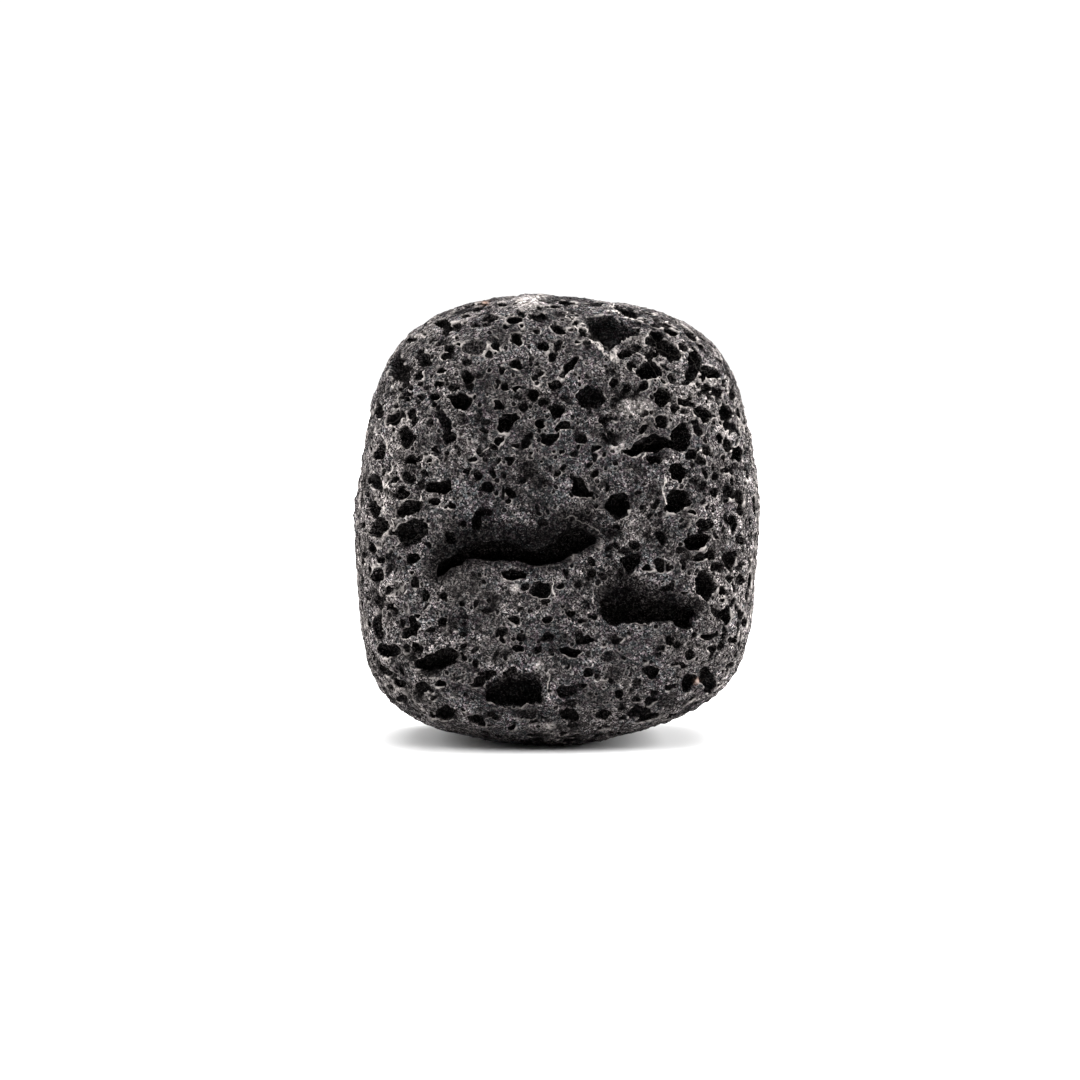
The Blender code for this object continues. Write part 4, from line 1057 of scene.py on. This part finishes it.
def grained_colour(nodes, place, flank, fine, coarse):
    """Warm and cool grains, light and dark ones, with calm and mottled zones, and painted light that makes
    the sides warmer, lighter and more contrasted.
    """
    patches = nodes.stretch(nodes.noise(place, WARM_PATCH, 4.0, 0.65), 0.38, 0.62, 0.0, 0.75)
    # painted light: the sides turn warmer and lighter, for the bright surround's light on them
    warmth = nodes.plus(patches, nodes.times(flank, 0.35))
    warmth = nodes.minus(nodes.plus(warmth, fine[0]), fine[1])
    middle = nodes.mix(nodes.stretch(coarse[1], 0.4, 0.8), COOL_STONE, MAUVE_STONE)
    colour = nodes.mix(nodes.stretch(warmth, 0.15, 1.0), middle, WARM_STONE)

    mottle = nodes.noise(place, MOTTLE, 2.0, 0.6)
    calm = nodes.stretch(nodes.noise(place, CALM_PATCH, 2.0), 0.42, 0.6)
    light = nodes.plus(nodes.times(fine[0], FINE_SHARE), nodes.times(coarse[0], 1 - FINE_SHARE))
    # painted light: more contrast on the sides
    contrast = nodes.minus(nodes.stretch(flank, 0.0, 1.0, 0.95, 1.2), nodes.times(calm, 0.3))
    light = nodes.times(nodes.minus(light, 0.5), contrast)
    light = nodes.plus(light, nodes.stretch(mottle, 0.3, 0.7, -MOTTLE_RISE, MOTTLE_RISE))
    light = nodes.minus(light, nodes.times(calm, 0.05))
    return nodes.scaled(colour, nodes.math("POWER", GRAIN_CONTRAST, light))


def pinholes(nodes, place, depth):
    """The smallest pits of the skin, darkened partly as glassy stone and partly as painted shade, and a
    painted highlight on their lower edges.
    """
    bend = nodes.add("ShaderNodeTexNoise", {"Vector": place, "Scale": PINHOLE_BENDS, "Detail": 1.0})
    inputs = {0: bend.outputs["Color"], 1: (PINHOLE_BEND,) * 3, 2: place}
    bent = nodes.add("ShaderNodeVectorMath", inputs, operation="MULTIPLY_ADD").outputs[0]
    cells = nodes.cells(bent, PINHOLE_SPACING)
    size = nodes.stretch(nodes.chances(cells["Color"])[0], 0.2, 1.0, 0.0, PINHOLE_REACH)
    outside = nodes.minus(cells["Distance"], size)
    # painted shade in the smallest pits, on top of their darker glassy stone
    hole = nodes.times(nodes.stretch(outside, 0.03, -0.07), nodes.stretch(depth, 0.5, 0.2))
    # painted highlight on the lower edge of each smallest pit
    ring = nodes.times(nodes.stretch(outside, 0.16, 0.05), nodes.stretch(outside, -0.02, 0.05))
    inputs = {0: place, 1: cells["Position"]}
    offset = nodes.add("ShaderNodeVectorMath", inputs, operation="SUBTRACT").outputs[0]
    return hole, nodes.times(ring, nodes.stretch(nodes.parts(offset)[2], 0.0, -0.15 * MM))


def ridge_lines(nodes, place):
    """The pale ridges, jagged and broken."""
    aside = nodes.mark("ridge")
    for length, jag in RIDGE_JAGS:
        aside = nodes.plus(aside, nodes.stretch(nodes.noise(place, length), 0.3, 0.7, -jag, jag))
    line = nodes.stretch(nodes.math("ABSOLUTE", aside), RIDGE_WIDTH, 0.02)
    line = nodes.times(line, nodes.mark("ridge_near"))
    return nodes.times(line, nodes.stretch(nodes.noise(place, 0.8), 0.36, 0.52, 0.35, 1.0))


def worn_and_highlit_rims(nodes, place, depth, flank, height):
    """The pale rims: a painted highlight on the lips' lower side, and rims pale all round towards the sides
    and the top, partly worn edges and partly painted light.
    """
    # the sides and the top, where rims turn pale all round: partly worn edges, partly painted light
    worn = nodes.larger(flank, nodes.stretch(height, *(level * MM for level in CROWN)))
    lip = nodes.larger(nodes.stretch(nodes.mark("lip"), 0.0, 0.7), nodes.stretch(worn, 0.0, 1.0, 0.15, 0.6))
    edge = nodes.plus(nodes.mark("beside"), nodes.times(depth, 0.8))
    rim = nodes.times(nodes.stretch(edge, RIM_WIDTH, 0.03), lip)
    rim = nodes.times(rim, nodes.stretch(nodes.noise(place, 0.7), 0.36, 0.54, 0.2, 1.0))
    rim = nodes.times(rim, nodes.stretch(nodes.mark("slope"), 0.2, 1.0))
    return nodes.times(rim, nodes.stretch(worn, 0.0, 1.0, 0.8, 1.3))


def blotted(nodes, place, colour):
    """The colour with the white and rusty marks and the painted highlight on the top, which lighten grains
    more than they cover them.
    """
    white = nodes.times(nodes.mark("white"), nodes.stretch(nodes.noise(place, 0.35, 2.0), 0.3, 0.6))
    colour = nodes.mix(nodes.times(white, WHITE_SHARE), colour, PALE_COLOUR_AND_HIGHLIGHT)
    colour = nodes.scaled(colour, nodes.plus(1.0, nodes.times(white, WHITE_LIFT)))
    return nodes.mix(nodes.times(nodes.mark("rust"), RUST_SHARE), colour, RUST)


def stone_material():
    nodes = Nodes("lava_stone_grain")
    place = nodes.add("ShaderNodeTexCoord").outputs["Object"]
    depth = nodes.mark("depth")
    across, _, height = nodes.parts(place)
    flank = nodes.stretch(nodes.math("ABSOLUTE", across), *(reach * MM for reach in FLANK))
    fine = nodes.chances(nodes.cells(place, FINE_GRAIN)["Color"])
    coarse = nodes.chances(nodes.cells(place, COARSE_GRAIN)["Color"])
    hole, ring = pinholes(nodes, place, depth)
    # rims with a painted highlight on their lower sides
    rim = nodes.larger(nodes.times(ring, 0.3), worn_and_highlit_rims(nodes, place, depth, flank, height))
    ridge = nodes.times(ridge_lines(nodes, place), RIDGE_SHARE)
    pale = nodes.larger(nodes.times(rim, RIM_SHARE), ridge)
    colour = nodes.mix(pale, grained_colour(nodes, place, flank, fine, coarse), PALE_COLOUR_AND_HIGHLIGHT)
    colour = blotted(nodes, place, colour)
    # painted shade: pits, the smallest pits and the slopes round the deepest openings are darkened in the
    # colour, partly the glassy stone inside the pits
    dark = nodes.larger(nodes.stretch(nodes.mark("sunk"), *SUNK), hole)
    dark = nodes.larger(nodes.stretch(nodes.mark("slope"), 1.3, 0.0, 0.0, SLOPE_SHADE), dark)
    colour = nodes.scaled(colour, nodes.math("POWER", DARKEST, dark))

    rise = nodes.plus(nodes.times(fine[2], 0.35), nodes.times(nodes.noise(place, 0.3, 2.0, 0.7), 0.6))
    rise = nodes.minus(nodes.plus(rise, nodes.times(pale, 0.4)), hole)
    inputs = {"Height": rise, "Distance": BUMP_HEIGHT * MM, "Strength": BUMP_STRENGTH}
    bump = nodes.add("ShaderNodeBump", inputs)
    nodes.tree.links.new(colour, nodes.surface.inputs["Base Color"])
    nodes.tree.links.new(bump.outputs[0], nodes.surface.inputs["Normal"])
    nodes.surface.inputs["Roughness"].default_value = STONE_ROUGHNESS
    nodes.surface.inputs["Specular IOR Level"].default_value = 0.0
    return nodes.material


# Studio, in metres
FLOOR_HALF = 1.6
FLOOR_COLOUR = (0.84, 0.84, 0.84, 1)
FLOOR_ROUGHNESS = 0.9
WHITE = (1, 1, 1, 1)
SURROUND_BEHIND = 1.06  # how bright the surround is behind the stone
SURROUND_BEFORE = 0.13  # and before it
SURROUND_TURN = 0.35  # how wide the change from one to the other is
LIGHTS = (  # name, place, where it points, side, power, spread in degrees
    ("overhead", (-0.03, -0.09, 0.58), (0, 0, 0.02), 0.90, 8.3, 180),
    ("left_edge", (-0.50, 0.10, 0.25), (0, 0, 0.02), 0.30, 2.0, 180),
    ("right_edge", (0.50, 0.10, 0.25), (0, 0, 0.02), 0.30, 5.5, 180),
    ("back_floor", (0.0, 1.0, 0.9), (0, 1.0, 0), 1.5, 22.0, 80),
)


def floor():
    nodes = Nodes("studio_floor")
    nodes.surface.inputs["Base Color"].default_value = FLOOR_COLOUR
    nodes.surface.inputs["Roughness"].default_value = FLOOR_ROUGHNESS
    low, high = -FLOOR_HALF, FLOOR_HALF
    corners = np.array([(low, low, 0), (high, low, 0), (high, high, 0), (low, high, 0)])
    made = new_mesh_object("studio_floor", corners, np.array([[0, 1, 2, 3]]))
    made.data.materials.append(nodes.material)


def surround():
    """A white surround, brighter behind the stone than before it."""
    world = bpy.data.worlds.new("studio")
    world.use_nodes = True
    tree = world.node_tree
    way = tree.nodes.new("ShaderNodeTexCoord")
    apart = tree.nodes.new("ShaderNodeSeparateXYZ")
    strength = tree.nodes.new("ShaderNodeMapRange")
    numbers = (-SURROUND_TURN, SURROUND_TURN, SURROUND_BEFORE, SURROUND_BEHIND)
    for number, value in enumerate(numbers, start=1):
        strength.inputs[number].default_value = value
    tree.links.new(way.outputs["Generated"], apart.inputs[0])
    tree.links.new(apart.outputs[1], strength.inputs["Value"])
    tree.links.new(strength.outputs[0], tree.nodes["Background"].inputs["Strength"])
    tree.nodes["Background"].inputs["Color"].default_value = WHITE
    bpy.context.scene.world = world


def lights():
    for name, place, target, side, power, spread in LIGHTS:
        lamp = bpy.data.lights.new(name, "AREA")
        lamp.size = side
        lamp.energy = power
        lamp.spread = math.radians(spread)
        made = bpy.data.objects.new(name, lamp)
        made.location = place
        made.rotation_euler = (Vector(target) - Vector(place)).to_track_quat("-Z", "Y").to_euler()
        bpy.context.scene.collection.objects.link(made)


def camera():
    lens = bpy.data.cameras.new("camera")
    lens.sensor_width = SENSOR
    lens.lens = SENSOR * CAMERA_DISTANCE / CAMERA_FIELD
    lens.clip_start, lens.clip_end = CAMERA_RANGE
    made = bpy.data.objects.new("camera", lens)
    rise = math.radians(CAMERA_ELEVATION)
    back = Vector((0, -math.cos(rise), math.sin(rise)))
    made.location = (Vector(CAMERA_TARGET) + back * CAMERA_DISTANCE) * MM
    made.rotation_euler = (-back).to_track_quat("-Z", "Y").to_euler()
    bpy.context.scene.collection.objects.link(made)
    bpy.context.scene.camera = made


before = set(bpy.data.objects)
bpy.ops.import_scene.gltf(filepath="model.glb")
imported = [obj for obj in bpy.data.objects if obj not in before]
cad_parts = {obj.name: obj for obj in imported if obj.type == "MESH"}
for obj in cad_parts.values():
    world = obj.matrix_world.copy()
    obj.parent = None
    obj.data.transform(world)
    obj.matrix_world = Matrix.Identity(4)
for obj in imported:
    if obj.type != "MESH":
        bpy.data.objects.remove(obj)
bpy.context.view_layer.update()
stone = carved_stone()
stone.data.materials.clear()
stone.data.materials.append(stone_material())
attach(stone, "root")
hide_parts("lava_rock")
floor()
surround()
lights()
camera()
bpy.context.scene.view_settings.view_transform = "Standard"
